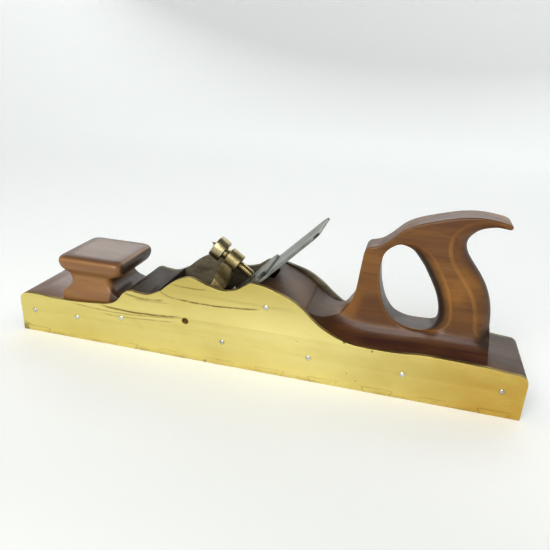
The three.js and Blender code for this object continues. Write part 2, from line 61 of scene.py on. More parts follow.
# ---------------------------------------------------------------- driving dimensions, from the frame

BODY_LENGTH = (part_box("sole_plate")[1].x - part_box("sole_plate")[0].x) / MM
HALF_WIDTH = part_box("sole_plate")[1].y / MM
SOLE_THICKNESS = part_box("sole_plate")[1].z / MM
INNER_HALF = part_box("right_side_plate")[0].y / MM
WOOD_HALF = INNER_HALF - 0.06
HAIRLINE = 0.04                     # gap that shows between pieces that touch

BED_ANGLE = math.radians(45.6)
BED_FOOT = 154.3
MOUTH_FRONT = 147.9
THROAT_TOP = 141

DOVETAIL = {"count": 10, "first": 16.4, "pitch": 46, "half": 11.5, "flare": 1.2}
RIVET_PLACES = [(14.4, 22), (59.7, 22.4), (105.6, 29.4), (202.7, 23), (240.9, 62.4), (279.3, 22.4),
                (356.8, 22.3), (432.7, 22.9)]
RIVET_RADIUS = 1.6
RIVET_DOME = 0.75
RIVET_LIFT = 0.04                   # gap under a rivet's dome
PIVOT = {"x": 168.3, "z": 37.5, "radius": 2.5}

IRON = {"half": 28.5, "thickness": 3.8, "top_thickness": 2.1, "top": 179, "edge": -4, "corner": 5, "bevel": 8}
IRON_SLOT = {"start": 40, "end": 108, "half": 5.5, "eye": 10.5}
IRON_SEAT = 0.2
CAP_IRON = {"thickness": 3.2, "top": 121, "corner": 6}
CAP_SCREW = {"s": 70, "radius": 3.6, "head": 9, "head_height": 3.4, "bush": 5.6, "flange": 7.5}
BED_GROOVE = {"start": 55, "half": 11, "depth": 6}

SCREW = {"s": 98.7, "n": 7, "tilt": math.radians(-9.6), "radius": 3.95, "pitch": 1.41, "depth": 0.5}
BOSS = {"from": 15, "to": 27.7, "radius": 8.5}
KNOB = {"from": 31.7, "to": 42.1, "radius": 10, "nib_radius": 2, "nib": 4}
NECK_RADIUS = 5.2

HANDLE_HALF = 12.5
TENON = {"from": 338, "to": 398, "top": 40.5, "depth": 16, "half": 6}
BUN = {"toe": 42, "heel": 107, "half": 32.5}

# ---------------------------------------------------------------- outlines

CHEEK_FRONT = [(17.6, 39.2), (36.6, 37.9), (55.4, 38.2), (74, 39.4), (92.5, 41.6), (101.7, 45.8),
               (109.5, 54.9), (115.2, 57.8), (121.8, 56.9), (133, 56.8), (145.2, 62.3)]
CHEEK_MIDDLE = [(154.6, 70.6), (164.7, 76.8), (174.3, 78.8), (188.9, 74.1), (200.6, 71.5),
                (207.6, 72.1), (215.2, 74.4), (219.5, 77.4), (224.3, 80.9)]
CHEEK_REAR = [(229.6, 81.7), (236.9, 81.1), (244.4, 79.1), (260.6, 72.9), (271.3, 66.1), (282.4, 55.9),
              (293.3, 48.8), (305.5, 43.7), (320.4, 40.8), (348.8, 40.6), (369.4, 42.3), (389.7, 42.3),
              (419, 41.1), (434.8, 39.6)]
CHEEK_REAR_RIGHT = [(229.6, 81.7), (236.9, 81.3), (246, 79.8), (262.5, 74.8), (273.5, 68.6), (280, 63.8),
                    (286.5, 58), (296, 51), (308, 45.2), (322, 41.4), *CHEEK_REAR[-5:]]
TOE_CORNER = [(0, 31), (0, 38), (8, 38.9)]
HEEL_CORNER = [(443.5, 39), (450, 38), (450, 31)]

# The bun from its base up: height, then how far the toe side, the flanks and the heel side stand inside
# its widest line, and the radius of its corners in plan.
BUN_MOULDING = [(37, 1, 3.6, 1, 3), (44, 1.2, 4.0, 2.2, 3), (47, 3.6, 4.8, 6.4, 4), (50, 6.6, 6.0, 11.4, 5),
                (54, 8.4, 6.9, 14.6, 6), (58, 8.4, 7.0, 15.4, 6), (61.5, 6.9, 6.4, 12.2, 7),
                (64.1, 5.0, 5.0, 7.0, 8), (66.3, 3.2, 3.2, 3.2, 8), (69.5, 1.1, 1.1, 1.1, 8),
                (73, 0.1, 0.1, 0.1, 8), (75.5, 0, 0, 0, 8), (78.6, 1.2, 1.2, 1.2, 7.5),
                (80.5, 4.4, 4.4, 4.4, 6)]

# Handle, from the foot in front, over the horn and down the back, then the hand hole.
HANDLE_FRONT = [(274, 63.8), (278.5, 60.4), (283, 57.9), (288, 56.5), (293.3, 56.6), (299.2, 58),
                (302.6, 60.9), (306, 66.2), (309, 72), (311, 83), (312.3, 97), (313.8, 112)]
HANDLE_BROW = [(319, 118.9), (326, 121.2), (333, 126.5), (343, 136.2), (354, 142.2), (372.8, 148),
               (385, 150.9), (398, 152), (410.5, 150.8), (416.8, 149.4)]
HORN_TIP = [(419.9, 148.6), (419.6, 146.4), (419.2, 144.4), (415, 145.4)]
HANDLE_BACK = [(408.3, 145), (399.5, 142), (393.8, 137.1), (390.8, 131), (391.2, 125), (394.8, 118),
               (405.4, 104.3), (411.6, 94), (415.8, 83.3), (418.2, 72.2), (419.4, 60.6), (419.6, 53)]
# Hand hole. The third number is how far its rounding reaches in: far along the front of the grip.
HAND_HOLE = [(328, 107.4, 2), (330.2, 115.4, 2), (335.2, 121, 2), (341, 123.9, 2.2), (346.7, 122.3, 4.6),
             (351.2, 118.8, 8.6), (356.3, 113, 11.8), (361.3, 106.6, 12.6), (366, 99, 12.6),
             (370.1, 91.9, 12.5), (373.5, 85.2, 12), (376, 78.5, 11.3), (377.7, 71.5, 11),
             (378.1, 65.5, 10.2), (377, 60, 8), (373.4, 56.2, 4.5), (367, 54.6, 2.2), (358, 54.6, 2),
             (349.5, 56.5, 2), (341.2, 61.2, 2), (334.5, 70.9, 2), (330.3, 83.3, 2), (328.2, 96, 2)]
# An oval round the hand hole: its centre and its half axes.
HOLE_OVAL = (353, 89, 33, 44)

# Section of the carved sides under the handle: half-width, and height above the plates' top edge.
COVE = [(WOOD_HALF, 0), (25, 1.7), (20.6, 4.4), (17.4, 7.0), (14.9, 10.4), (13.2, 14), (HANDLE_HALF, 18)]


def spline(points, steps):
    """Points on the smooth curve through the given points: the same curve as three.js draws."""
    points = [np.array(p, float) for p in points]
    out = []
    for i in range(len(points) - 1):
        p0, p1, p2 = points[max(i - 1, 0)], points[i], points[i + 1]
        p3 = points[min(i + 2, len(points) - 1)]
        v0, v1 = (p2 - p0) / 2, (p3 - p1) / 2
        for k in range(steps):
            t = k / steps
            cubic, square = 2 * p1 - 2 * p2 + v0 + v1, 3 * p2 - 3 * p1 - 2 * v0 - v1
            out.append(cubic * t**3 + square * t**2 + v0 * t + p1)
    out.append(points[-1])
    return [tuple(p) for p in out]


def bend(start, control, end, steps):
    """Points on a quadratic curve."""
    a, b, c = (np.array(p, float) for p in (start, control, end))
    return [tuple((1 - t) ** 2 * a + 2 * t * (1 - t) * b + t * t * c) for t in np.linspace(0, 1, steps + 1)]


def cheek_edge(rear, steps=8):
    """The shaped top edge of a side plate, from the toe to the heel."""
    line = bend(*TOE_CORNER, steps)
    line += spline([TOE_CORNER[2], *CHEEK_FRONT], steps)[1:]
    line += spline([CHEEK_FRONT[-1], *CHEEK_MIDDLE], steps)[1:]
    line += spline([CHEEK_MIDDLE[-1], *rear], steps)[1:]
    return line + bend(*HEEL_CORNER, steps)


LEFT_EDGE = cheek_edge(CHEEK_REAR)
RIGHT_EDGE = cheek_edge(CHEEK_REAR_RIGHT)
EDGE_X, EDGE_Z = (np.array(v) for v in zip(*LEFT_EDGE))


def cheek_top(x):
    """Height of the body's top edge at a distance from the toe."""
    return np.interp(x, EDGE_X, EDGE_Z)


# ---------------------------------------------------------------- mesh helpers


QUARTER_TURN = Matrix.Rotation(math.pi / 2, 4, "X")
BED = (Matrix.Translation(Vector(((BED_FOOT - BODY_LENGTH / 2) * MM, 0, 0)))
       @ Matrix.Rotation(-BED_ANGLE, 4, "Y") @ Matrix.Scale(MM, 4))
SCREW_AXIS = (BED @ Matrix.Translation(Vector((SCREW["s"], 0, SCREW["n"])))
              @ Matrix.Rotation(SCREW["tilt"], 4, "Y"))
ROW = Matrix.Scale(MM, 4) @ Matrix.Translation(Vector((-BODY_LENGTH / 2, 0, 0)))


def new_object(name, verts, faces):
    mesh = bpy.data.meshes.new(name)
    mesh.from_pydata([tuple(v) for v in verts], [], faces)
    mesh.update()
    obj = bpy.data.objects.new(name, mesh)
    bpy.context.scene.collection.objects.link(obj)
    return obj


def tidy(obj, sharp=35, weld=1e-4):
    """Welds doubles, turns faces outwards and shades smooth except across sharp edges."""
    bm = bmesh.new()
    bm.from_mesh(obj.data)
    bmesh.ops.remove_doubles(bm, verts=bm.verts, dist=weld)
    bmesh.ops.dissolve_degenerate(bm, edges=bm.edges, dist=weld / 10)
    bmesh.ops.recalc_face_normals(bm, faces=bm.faces)
    bm.to_mesh(obj.data)
    bm.free()
    obj.data.polygons.foreach_set("use_smooth", [True] * len(obj.data.polygons))
    obj.data.set_sharp_from_angle(angle=math.radians(sharp))
    return obj


def transform(obj, matrix):
    obj.data.transform(matrix)
    obj.data.update()
    return obj


def apply_modifiers(obj):
    graph = bpy.context.evaluated_depsgraph_get()
    mesh = bpy.data.meshes.new_from_object(obj.evaluated_get(graph), depsgraph=graph)
    old = obj.data
    obj.modifiers.clear()
    obj.data = mesh
    bpy.data.meshes.remove(old)
    return obj


def combine(obj, other, how):
    """Boolean of two closed meshes; the second one is used up."""
    step = obj.modifiers.new(how, "BOOLEAN")
    step.operation = how
    step.solver = "EXACT"
    step.object = other
    bpy.context.view_layer.update()
    apply_modifiers(obj)
    bpy.data.objects.remove(other)
    return obj


def slab(name, outline, holes, low, high, edge=0.3, rounds=2):
    """An outline in side view, thickened from y = low to y = high, with rounded edges. Millimetres."""
    curve = bpy.data.curves.new(name, "CURVE")
    curve.dimensions = "2D"
    curve.fill_mode = "BOTH"
    for ring in [outline, *holes]:
        line = curve.splines.new("POLY")
        line.points.add(len(ring) - 1)
        line.points.foreach_set("co", [c for x, z in ring for c in (x, z, 0, 1)])
        line.use_cyclic_u = True
    curve.extrude = (high - low) / 2 - edge
    curve.bevel_depth = edge
    curve.bevel_resolution = rounds
    curve.offset = -edge
    source = bpy.data.objects.new(name + "_curve", curve)
    bpy.context.scene.collection.objects.link(source)
    graph = bpy.context.evaluated_depsgraph_get()
    mesh = bpy.data.meshes.new_from_object(source.evaluated_get(graph), depsgraph=graph)
    bpy.data.objects.remove(source)
    mesh.name = name
    mesh.materials.clear()
    mesh.transform(Matrix.Translation(Vector((0, (low + high) / 2, 0))) @ QUARTER_TURN)
    obj = bpy.data.objects.new(name, mesh)
    bpy.context.scene.collection.objects.link(obj)
    return tidy(obj)


def circle(x, z, radius, sides=32):
    return [(x + radius * math.cos(a), z + radius * math.sin(a))
            for a in np.linspace(0, 2 * math.pi, sides, endpoint=False)]


def block(name, low, high):
    """A plain box, for cutting."""
    (x0, y0, z0), (x1, y1, z1) = low, high
    verts = [(x, y, z) for x in (x0, x1) for y in (y0, y1) for z in (z0, z1)]
    faces = [(0, 1, 3, 2), (4, 6, 7, 5), (0, 4, 5, 1), (2, 3, 7, 6), (0, 2, 6, 4), (1, 5, 7, 3)]
    return new_object(name, verts, faces)


def ring_faces(rows, count):
    """Quads between successive closed rings of points."""
    steps = [(k, (k + 1) % count) for k in range(count)]
    return [(i * count + a, i * count + b, (i + 1) * count + b, (i + 1) * count + a)
            for i in range(rows - 1) for a, b in steps]


def ring_ends(rows, count):
    """Flat caps on the first and the last ring."""
    return [tuple(range(count))[::-1], tuple((rows - 1) * count + k for k in range(count))]


def turned(name, profile, sides=64, ripple=None):
    """A solid of revolution from (radius, height) points; ripple(angle, height, radius) widens it."""
    verts = []
    for r, z in profile:
        for k in range(sides):
            a = 2 * math.pi * k / sides
            rr = r + (ripple(a, z, r) if ripple else 0)
            verts.append((rr * math.cos(a), rr * math.sin(a), z))
    faces = ring_faces(len(profile), sides)
    if profile[0] != profile[-1]:
        faces += ring_ends(len(profile), sides)
    return tidy(new_object(name, verts, faces))


def rounded(points, radius, steps=3):
    """An open profile with its inner corners rounded."""
    out = [points[0]]
    for before, corner, after in zip(points, points[1:], points[2:]):
        p, q, r = (np.array(v, float) for v in (before, corner, after))
        reach = min(radius, np.linalg.norm(p - q) / 2.2, np.linalg.norm(r - q) / 2.2)
        start = q + (p - q) / np.linalg.norm(p - q) * reach
        end = q + (r - q) / np.linalg.norm(r - q) * reach
        out += bend(start, q, end, steps)
    return [*out, points[-1]]


# ---------------------------------------------------------------- body


def plate_outline(edge):
    """Side view of a plate: its top edge, then the sockets for the sole's dovetail pins."""
    ring = list(edge) + [(BODY_LENGTH, 0)]
    for i in reversed(range(DOVETAIL["count"])):
        middle = DOVETAIL["first"] + i * DOVETAIL["pitch"]
        low = DOVETAIL["half"] - DOVETAIL["flare"] + HAIRLINE
        high = DOVETAIL["half"] + DOVETAIL["flare"] + HAIRLINE
        top = SOLE_THICKNESS + HAIRLINE
        ring += [(middle + low, 0), (middle + high, top), (middle - high, top), (middle - low, 0)]
    return ring + [(0, 0)]


def side_plate(name, side, edge):
    holes = [circle(x, z, RIVET_RADIUS + HAIRLINE) for x, z in RIVET_PLACES]
    holes.append(circle(PIVOT["x"], PIVOT["z"], PIVOT["radius"] + 0.15))
    low, high = sorted((side * INNER_HALF, side * HALF_WIDTH))
    return transform(slab(name, plate_outline(edge), holes, low, high, edge=0.22), ROW)


def rivet(name, place):
    """A cross rivet: its shank through the body and a peened, slightly flattened dome on each plate."""
    x, z = place
    dome = [(0.01, 1.0), (0.7, 0.95), (1.3, 0.75), (1.8, 0.4), (2.15, RIVET_LIFT / RIVET_DOME)]
    top = [(r, HALF_WIDTH + RIVET_DOME * share) for r, share in dome]
    shank = [(RIVET_RADIUS, -HALF_WIDTH - RIVET_LIFT), (RIVET_RADIUS, HALF_WIDTH + RIVET_LIFT)]
    profile = [(r, -h) for r, h in top] + shank + top[::-1]
    shake = random.Random(name)
    lean = [(shake.uniform(-0.06, 0.06), shake.uniform(0, 6.28)) for _ in range(3)]

    def peen(angle, height, radius):
        if abs(height) < HALF_WIDTH or radius < 0.1:
            return 0
        return sum(a * math.sin((i + 2) * angle + b) for i, (a, b) in enumerate(lean)) * radius / 2

    obj = turned(name, profile, 28, peen)
    obj.data.transform(QUARTER_TURN)
    return transform(obj, ROW @ Matrix.Translation(Vector((x, 0, z))))


def pivot_pin():
    """The lever cap's pin: it ends a little below the plates, and its ends are dished."""
    length = HALF_WIDTH - 0.7
    r = PIVOT["radius"]
    end = [(0.01, length - 0.5), (r * 0.55, length - 0.35), (r * 0.8, length), (r, length - 0.25)]
    profile = [(a, -b) for a, b in end] + list(reversed(end))
    obj = turned("lever_cap_pin_worn", profile, 40)
    obj.data.transform(QUARTER_TURN)
    return transform(obj, ROW @ Matrix.Translation(Vector((PIVOT["x"], 0, PIVOT["z"]))))


# ---------------------------------------------------------------- wood


def rounded_ring(x0, x1, half, radius, height, per_corner=10):
    """A rectangle in plan with round corners, as points at one height."""
    centres = [(x1 - radius, half - radius, 0), (x0 + radius, half - radius, 1),
               (x0 + radius, radius - half, 2), (x1 - radius, radius - half, 3)]
    ring = []
    for cx, cy, quarter in centres:
        for k in range(per_corner + 1):
            a = (quarter + k / per_corner) * math.pi / 2
            ring.append((cx + radius * math.cos(a), cy + radius * math.sin(a), height))
    return ring


def bun():
    """The moulded front bun as rounded rings from its base to its slightly crowned top."""
    rings = []
    mouldings = spline(BUN_MOULDING, 5)
    for z, toe, flank, heel, radius in mouldings:
        rings.append(rounded_ring(BUN["toe"] + toe, BUN["heel"] - heel, BUN["half"] - flank, radius, z))
    height, edge, *_, radius = mouldings[-1]
    for share, rise in ((0.75, 0.12), (0.4, 0.25), (0.05, 0.3)):
        inset = edge + (1 - share) * (BUN["half"] - edge) * 0.98
        rings.append(rounded_ring(BUN["toe"] + inset, BUN["heel"] - inset, BUN["half"] - inset,
                                  radius * share, height + rise))
    count = len(rings[0])
    faces = ring_ends(len(rings), count) + ring_faces(len(rings), count)
    return tidy(new_object("bun", [p for ring in rings for p in ring], faces))


def front_infill():
    """The block between the plates in front of the mouth, with the bun on it."""
    top = [p for p in LEFT_EDGE if p[0] < THROAT_TOP]
    outline = [(p[0] + 0.05, p[1]) for p in top] + [(THROAT_TOP, cheek_top(THROAT_TOP)), (THROAT_TOP, 55),
                                                   (MOUTH_FRONT - 0.4, SOLE_THICKNESS + HAIRLINE),
                                                   (0.05, SOLE_THICKNESS + HAIRLINE)]
    holes = [circle(x, z, RIVET_RADIUS + HAIRLINE) for x, z in RIVET_PLACES[:3]]
    wood = slab("front_infill_polished", outline, holes, -WOOD_HALF, WOOD_HALF, edge=0.35)
    combine(wood, bun(), "UNION")
    return transform(tidy(wood, 30, 0.01), ROW)


HANDLE_SPAN = (274, 419.6)
SEAT_DROP = 0.6                     # how far the handle's foot is let in below the plates' top edge


def rear_infill():
    """The block behind the iron: its bed, the ramp down from the hump, and the heel."""
    slope = 1 / math.tan(BED_ANGLE)
    low = SOLE_THICKNESS + HAIRLINE
    top = []
    for x, z in LEFT_EDGE:
        if x <= BED_FOOT + cheek_top(x) * slope:
            continue
        if HANDLE_SPAN[0] < x < HANDLE_SPAN[1]:
            z -= SEAT_DROP + HAIRLINE
        top.append((min(x, BODY_LENGTH - 0.05), z))
    start = next(x for x in np.linspace(220, 240, 401) if x > BED_FOOT + cheek_top(x) * slope)
    outline = [(BED_FOOT + low * slope, low), (start, cheek_top(start)), *top, (BODY_LENGTH - 0.05, low)]
    holes = [circle(x, z, RIVET_RADIUS + HAIRLINE) for x, z in RIVET_PLACES[3:]]
    wood = slab("rear_infill_polished", outline, holes, -WOOD_HALF, WOOD_HALF, edge=0.3)
    groove = block("groove", (BED_GROOVE["start"], -BED_GROOVE["half"], -BED_GROOVE["depth"]),
                   (200, BED_GROOVE["half"], 20))
    groove.data.transform(Matrix.Translation(Vector((BED_FOOT, 0, 0))) @ Matrix.Rotation(-BED_ANGLE, 4, "Y"))
    combine(wood, groove, "DIFFERENCE")
    bottom = TENON["top"] - TENON["depth"]
    mortise = block("mortise", (TENON["from"] - 0.1, -TENON["half"] - 0.1, bottom - 0.1),
                    (TENON["to"] + 0.1, TENON["half"] + 0.1, 60))
    combine(wood, mortise, "DIFFERENCE")
    return transform(tidy(wood, 30, 0.01), ROW)


def cove_half(height):
    """Half-width of the carved side at a height above the plates' top edge."""
    halves, heights = (np.array(v) for v in zip(*spline(COVE, 6)))
    return np.interp(height, heights, halves)


def handle_rings():
    """Boundary samples of the handle: x, z, how far its edge rounding reaches in, and how deep it goes.

    The grip is round at the back, for the palm; every other edge is only eased.
    """
    eased = (1.6, 1.2)
    outer = []

    def add(points, start, end):
        """Adds points whose rounding goes from one (reach, depth) to another."""
        for p, t in zip(points, np.linspace(0, 1, len(points))):
            outer.append((*p, *(a + (b - a) * t for a, b in zip(start, end))))

    add(spline(HANDLE_FRONT, 6), (0.4, 0.3), eased)
    add(bend(HANDLE_FRONT[-1], (314.4, 118.4), HANDLE_BROW[0], 6)[1:], eased, eased)
    add(spline(HANDLE_BROW, 6)[1:], eased, eased)
    add(bend(HANDLE_BROW[-1], HORN_TIP[0], HORN_TIP[1], 5)[1:], (2.2, 2.4), (2.6, 2.6))
    add(bend(HORN_TIP[1], HORN_TIP[2], HORN_TIP[3], 5)[1:], (2.6, 2.6), (3.0, 2.6))
    back = spline([HORN_TIP[3], *HANDLE_BACK], 6)[1:]
    for k, (x, z) in enumerate(back):
        under_horn = min(1.0, k / 22)
        to_foot = min(1.0, max(0.0, (z - 55.5) / 7))
        share = (under_horn**0.8) * to_foot
        outer.append((x, z, 3.0 + 11.4 * share, 2.4 + 9.8 * share))
    last = back[-1]
    for z in np.arange(last[1] - 1.5, cheek_top(last[0]), -1.5):
        outer.append((last[0], z, 0.8, 0.6))
    for x in np.arange(HANDLE_SPAN[1], HANDLE_SPAN[0], -1.5):
        outer.append((x, cheek_top(x) - SEAT_DROP, 0.4, 0.2))
    hole = [(x, z, reach, 1.7 + 10.3 * min(1.0, (reach - 2) / 8) if reach > 2 else 1.7)
            for x, z, reach in spline([*HAND_HOLE, HAND_HOLE[0]], 6)[:-1]]
    return np.array(outer), np.array(hole)


def inside(polygon, points):
    """Which points lie inside a closed polygon."""
    px, pz = polygon[:, 0], polygon[:, 1]
    qx, qz = np.roll(px, -1), np.roll(pz, -1)
    hit = np.zeros(len(points), bool)
    for ax, az, bx, bz in zip(px, pz, qx, qz):
        if az == bz:
            continue
        crosses = ((az > points[:, 1]) != (bz > points[:, 1]))
        at = ax + (points[:, 1] - az) * (bx - ax) / (bz - az)
        hit ^= crosses & (points[:, 0] < at)
    return hit


def distances(points, samples):
    """Distance from each point to each boundary sample."""
    return np.hypot(points[:, None, 0] - samples[None, :, 0], points[:, None, 1] - samples[None, :, 1])


def handle_thickness(points, samples):
    """Half-thickness of the handle over each point of its side view."""
    base = np.maximum(cove_half(points[:, 1] - cheek_top(points[:, 0])), HANDLE_HALF)
    arris = 0.75                    # below 1, the rounding starts at a soft edge instead of a tangent
    half = base.copy()
    for start in range(0, len(points), 2000):
        part = slice(start, start + 2000)
        reach = samples[None, :, 2]
        u = np.clip(distances(points[part], samples) / reach, 0, 1)
        rise = np.sqrt(1 - (1 - arris * u) ** 2) / math.sqrt(1 - (1 - arris) ** 2)
        drop = samples[None, :, 3] * (1 - rise)
        half[part] = base[part] - drop.max(axis=1)
    return half


def handle_grid(outer, hole, spacing=1.5):
    """Points that fill the handle's side view, closer together where its edges are rounded."""
    rim = np.vstack([outer, hole])
    kept = []
    for loop in (outer, hole):
        ahead, behind = np.roll(loop[:, :2], -1, axis=0), np.roll(loop[:, :2], 1, axis=0)
        tangent = ahead - behind
        normal = np.stack([tangent[:, 1], -tangent[:, 0]], axis=1)
        normal /= np.maximum(np.linalg.norm(normal, axis=1), 1e-9)[:, None]
        for share in (0.03, 0.12, 0.27, 0.48, 0.74, 1.0):
            for direction in (normal, -normal):
                moved = loop[:, :2] + direction * (loop[:, 2] * share)[:, None]
                kept.append(moved[distances(moved, rim).min(axis=1) > loop[:, 2] * share * 0.97])
    xs = np.arange(outer[:, 0].min(), outer[:, 0].max(), spacing)
    zs = np.arange(outer[:, 1].min(), outer[:, 1].max(), spacing)
    grid = np.array([(x + (i % 2) * spacing / 2, z) for i, z in enumerate(zs) for x in xs])
    gaps = distances(grid, rim)
    nearest = gaps.argmin(axis=1)
    clear = gaps[np.arange(len(grid)), nearest] > rim[nearest, 2] + spacing * 0.35
    kept.append(grid[clear])
    points = np.vstack(kept)
    points = points[inside(outer, points) & ~inside(hole, points)]
    return points[distances(points, rim).min(axis=1) > 0.02]


def thin_out(points, least):
    """Drops points that lie closer than `least` to one already kept."""
    kept, cells = [], {}
    for p in points:
        key = (int(p[0] // least), int(p[1] // least))
        near = [q for i in (-1, 0, 1) for j in (-1, 0, 1) for q in cells.get((key[0] + i, key[1] + j), [])]
        if all((p[0] - q[0]) ** 2 + (p[1] - q[1]) ** 2 >= least * least for q in near):
            cells.setdefault(key, []).append(p)
            kept.append(p)
    return np.array(kept)


def rear_handle():
    """The closed handle: two domed side sheets over one outline, joined round the rim and the hand hole."""
    outer, hole = handle_rings()
    inner = thin_out(handle_grid(outer, hole), 0.16)
    rim = np.vstack([outer, hole])
    points = np.vstack([rim[:, :2], inner])
    n_outer, n_hole = len(outer), len(hole)
    edges = [(i, (i + 1) % n_outer) for i in range(n_outer)]
    edges += [(n_outer + i, n_outer + (i + 1) % n_hole) for i in range(n_hole)]
    coords, _, faces, *_ = delaunay_2d_cdt([Vector(p) for p in points], edges, [], 0, 1e-6)
    coords = np.array([tuple(c) for c in coords])
    centres = np.array([coords[list(f)].mean(axis=0) for f in faces])
    keep = inside(outer, centres) & ~inside(hole, centres)
    faces = [tuple(f) for f, k in zip(faces, keep) if k]
    half = handle_thickness(coords, rim)
    count = len(coords)
    verts = [(x, y, z) for (x, z), y in zip(coords, half)] + [(x, -y, z) for (x, z), y in zip(coords, half)]
    all_faces = list(faces) + [tuple(i + count for i in reversed(f)) for f in faces]
    for loop_start, size in ((0, n_outer), (n_outer, n_hole)):
        for i in range(size):
            a, b = loop_start + i, loop_start + (i + 1) % size
            all_faces.append((a, b, b + count, a + count))
    obj = tidy(new_object("rear_handle_polished", verts, all_faces), 38, 0.002)
    tenon = block("tenon", (TENON["from"], -TENON["half"], TENON["top"] - TENON["depth"]),
                  (TENON["to"], TENON["half"], 44))
    combine(obj, tenon, "UNION")
    return transform(tidy(obj, 38, 0.002), ROW)


# ---------------------------------------------------------------- cutting unit


def iron_face(s):
    """Height of the tapered iron's front face above the bed."""
    share = max(s, 0) / IRON["top"]
    return IRON_SEAT + IRON["thickness"] + (IRON["top_thickness"] - IRON["thickness"]) * share


def clipped_plan(start, top, half, corner):
    """Plan of an iron as (s, across): square at the edge, with its top corners clipped and eased."""
    ease = corner * 0.25
    ring = [(start, -half), (start, half)]
    for sign in (1, -1):
        outside = (top - corner, sign * half)
        tip = (top, sign * (half - corner))
        before, after = (outside[0] - ease, outside[1]), (outside[0] + ease, outside[1] - sign * ease)
        part = bend(before, outside, after, 4)
        part += bend((tip[0] - ease, tip[1] + sign * ease), tip, (tip[0], tip[1] - sign * ease), 4)
        ring += part if sign > 0 else part[::-1]
    return ring


def cut_line(obj, point, normal, drop=False):
    """Adds a line of edges where a plane crosses the mesh, and can drop what lies past it."""
    bm = bmesh.new()
    bm.from_mesh(obj.data)
    geometry = bm.verts[:] + bm.edges[:] + bm.faces[:]
    cut = bmesh.ops.bisect_plane(bm, geom=geometry, plane_co=point, plane_no=normal, clear_outer=drop)
    if drop:
        rim = [e for e in cut["geom_cut"] if isinstance(e, bmesh.types.BMEdge)]
        bmesh.ops.holes_fill(bm, edges=rim)
    bm.to_mesh(obj.data)
    bm.free()


def cutting_iron():
    plan = clipped_plan(IRON["edge"], IRON["top"], IRON["half"], IRON["corner"])
    turn = np.linspace(math.pi / 2, 1.5 * math.pi, 13)
    ends = ((IRON_SLOT["start"], IRON_SLOT["half"]), (IRON_SLOT["end"], -IRON_SLOT["half"]))
    slot = [(middle + r * math.cos(a), r * math.sin(a)) for middle, r in ends for a in turn]
    thickness = IRON["thickness"]
    obj = slab("cutting_iron_ground", plan, [slot], 0, thickness, edge=0.25)
    obj.data.transform(Matrix.Rotation(-math.pi / 2, 4, "X"))
    back_end = IRON["edge"] + IRON["bevel"]
    cut_line(obj, (back_end, 0, 0), (1, 0, 0))
    co = np.array([v.co for v in obj.data.vertices])
    level = np.abs(co[:, 2]) / thickness
    for v, t in zip(obj.data.vertices, level):
        s = v.co.x
        front = iron_face(s)
        back = IRON_SEAT + max(0.0, (back_end - s) / IRON["bevel"]) * (thickness - 0.12)
        v.co.z = back + (front - back) * t
    eye = turned("eye", [(IRON_SLOT["eye"], -5), (IRON_SLOT["eye"], 10)], 48)
    eye.data.transform(Matrix.Translation(Vector((IRON_SLOT["start"], 0, 0))))
    combine(obj, eye, "DIFFERENCE")
    return transform(tidy(obj, 30, 0.005), BED)


def cap_underside(s):
    return iron_face(s) + 0.2


def cap_iron():
    """Springs over a hump near the edge, then lies flat on the iron; its top corners are clipped."""
    rest, thick, top = cap_underside(0), CAP_IRON["thickness"], CAP_IRON["top"]
    under = spline([(IRON["edge"] + 1.6, rest), (5, rest + 1.1), (12, rest + 1.4), (20, rest + 0.6),
                    (28, cap_underside(28))], 6)
    over = spline([(28, cap_underside(28) + thick), (20, rest + 3.7), (12, rest + 4.2), (5, rest + 3.4),
                   (0.5, rest + 1.7)], 6)
    outline = under + [(top, cap_underside(top)), (top, cap_underside(top) + thick - 0.7)] + over
    outline += [(IRON["edge"] + 1.9, rest + 0.25)]
    half = IRON["half"]
    obj = slab("cap_iron_ground", outline, [], -half, half, edge=0.1)
    corner = CAP_IRON["corner"]
    for sign in (1, -1):
        cut_line(obj, (top - corner, sign * half, 0), (1, sign, 0), drop=True)
    hole = turned("hole", [(CAP_SCREW["bush"] + 0.1, -5), (CAP_SCREW["bush"] + 0.1, 20)], 48)
    hole.data.transform(Matrix.Translation(Vector((CAP_SCREW["s"], 0, 0))))
    combine(obj, hole, "DIFFERENCE")
    tidy(obj, 30, 0.005)
    ease = obj.modifiers.new("ease", "BEVEL")
    ease.width = 0.3
    ease.segments = 2
    ease.limit_method = "ANGLE"
    ease.angle_limit = math.radians(40)
    apply_modifiers(obj)
    return transform(tidy(obj, 30, 0.005), BED)


def cap_bush():
    low = cap_underside(CAP_SCREW["s"]) + 0.25
    deck = cap_underside(CAP_SCREW["s"]) + CAP_IRON["thickness"] + 0.12
    bore = CAP_SCREW["radius"] + 0.1
    bush, flange = CAP_SCREW["bush"], CAP_SCREW["flange"]
    profile = [(bore, low), (bush, low), (bush, deck), (flange, deck), (flange, deck + 1.5),
               (flange - 0.7, deck + 2.2), (bore + 0.4, deck + 2.2), (bore, deck + 1.9), (bore, low)]
    obj = turned("cap_iron_bush_turned", profile, 64)
    return transform(obj, BED @ Matrix.Translation(Vector((CAP_SCREW["s"], 0, 0))))


def cap_screw():
    r, head = CAP_SCREW["radius"], CAP_SCREW["head"]
    under = IRON_SEAT - 0.3
    low = under - CAP_SCREW["head_height"]
    end = cap_underside(CAP_SCREW["s"]) + CAP_IRON["thickness"] + 1.9
    profile = [(0.01, low), (head * 0.6, low + 0.1), (head - 0.7, low + 0.35), (head, low + 1), (head, under),
               (r, under), (r, end - 0.3), (r - 0.3, end), (0.01, end)]
    obj = turned("cap_iron_screw_turned", profile, 64)
    slot = block("slot", (-2 * head, -0.7, low - 1), (2 * head, 0.7, low + 1.3))
    combine(obj, slot, "DIFFERENCE")
    return transform(tidy(obj, 35, 0.003), BED @ Matrix.Translation(Vector((CAP_SCREW["s"], 0, 0))))


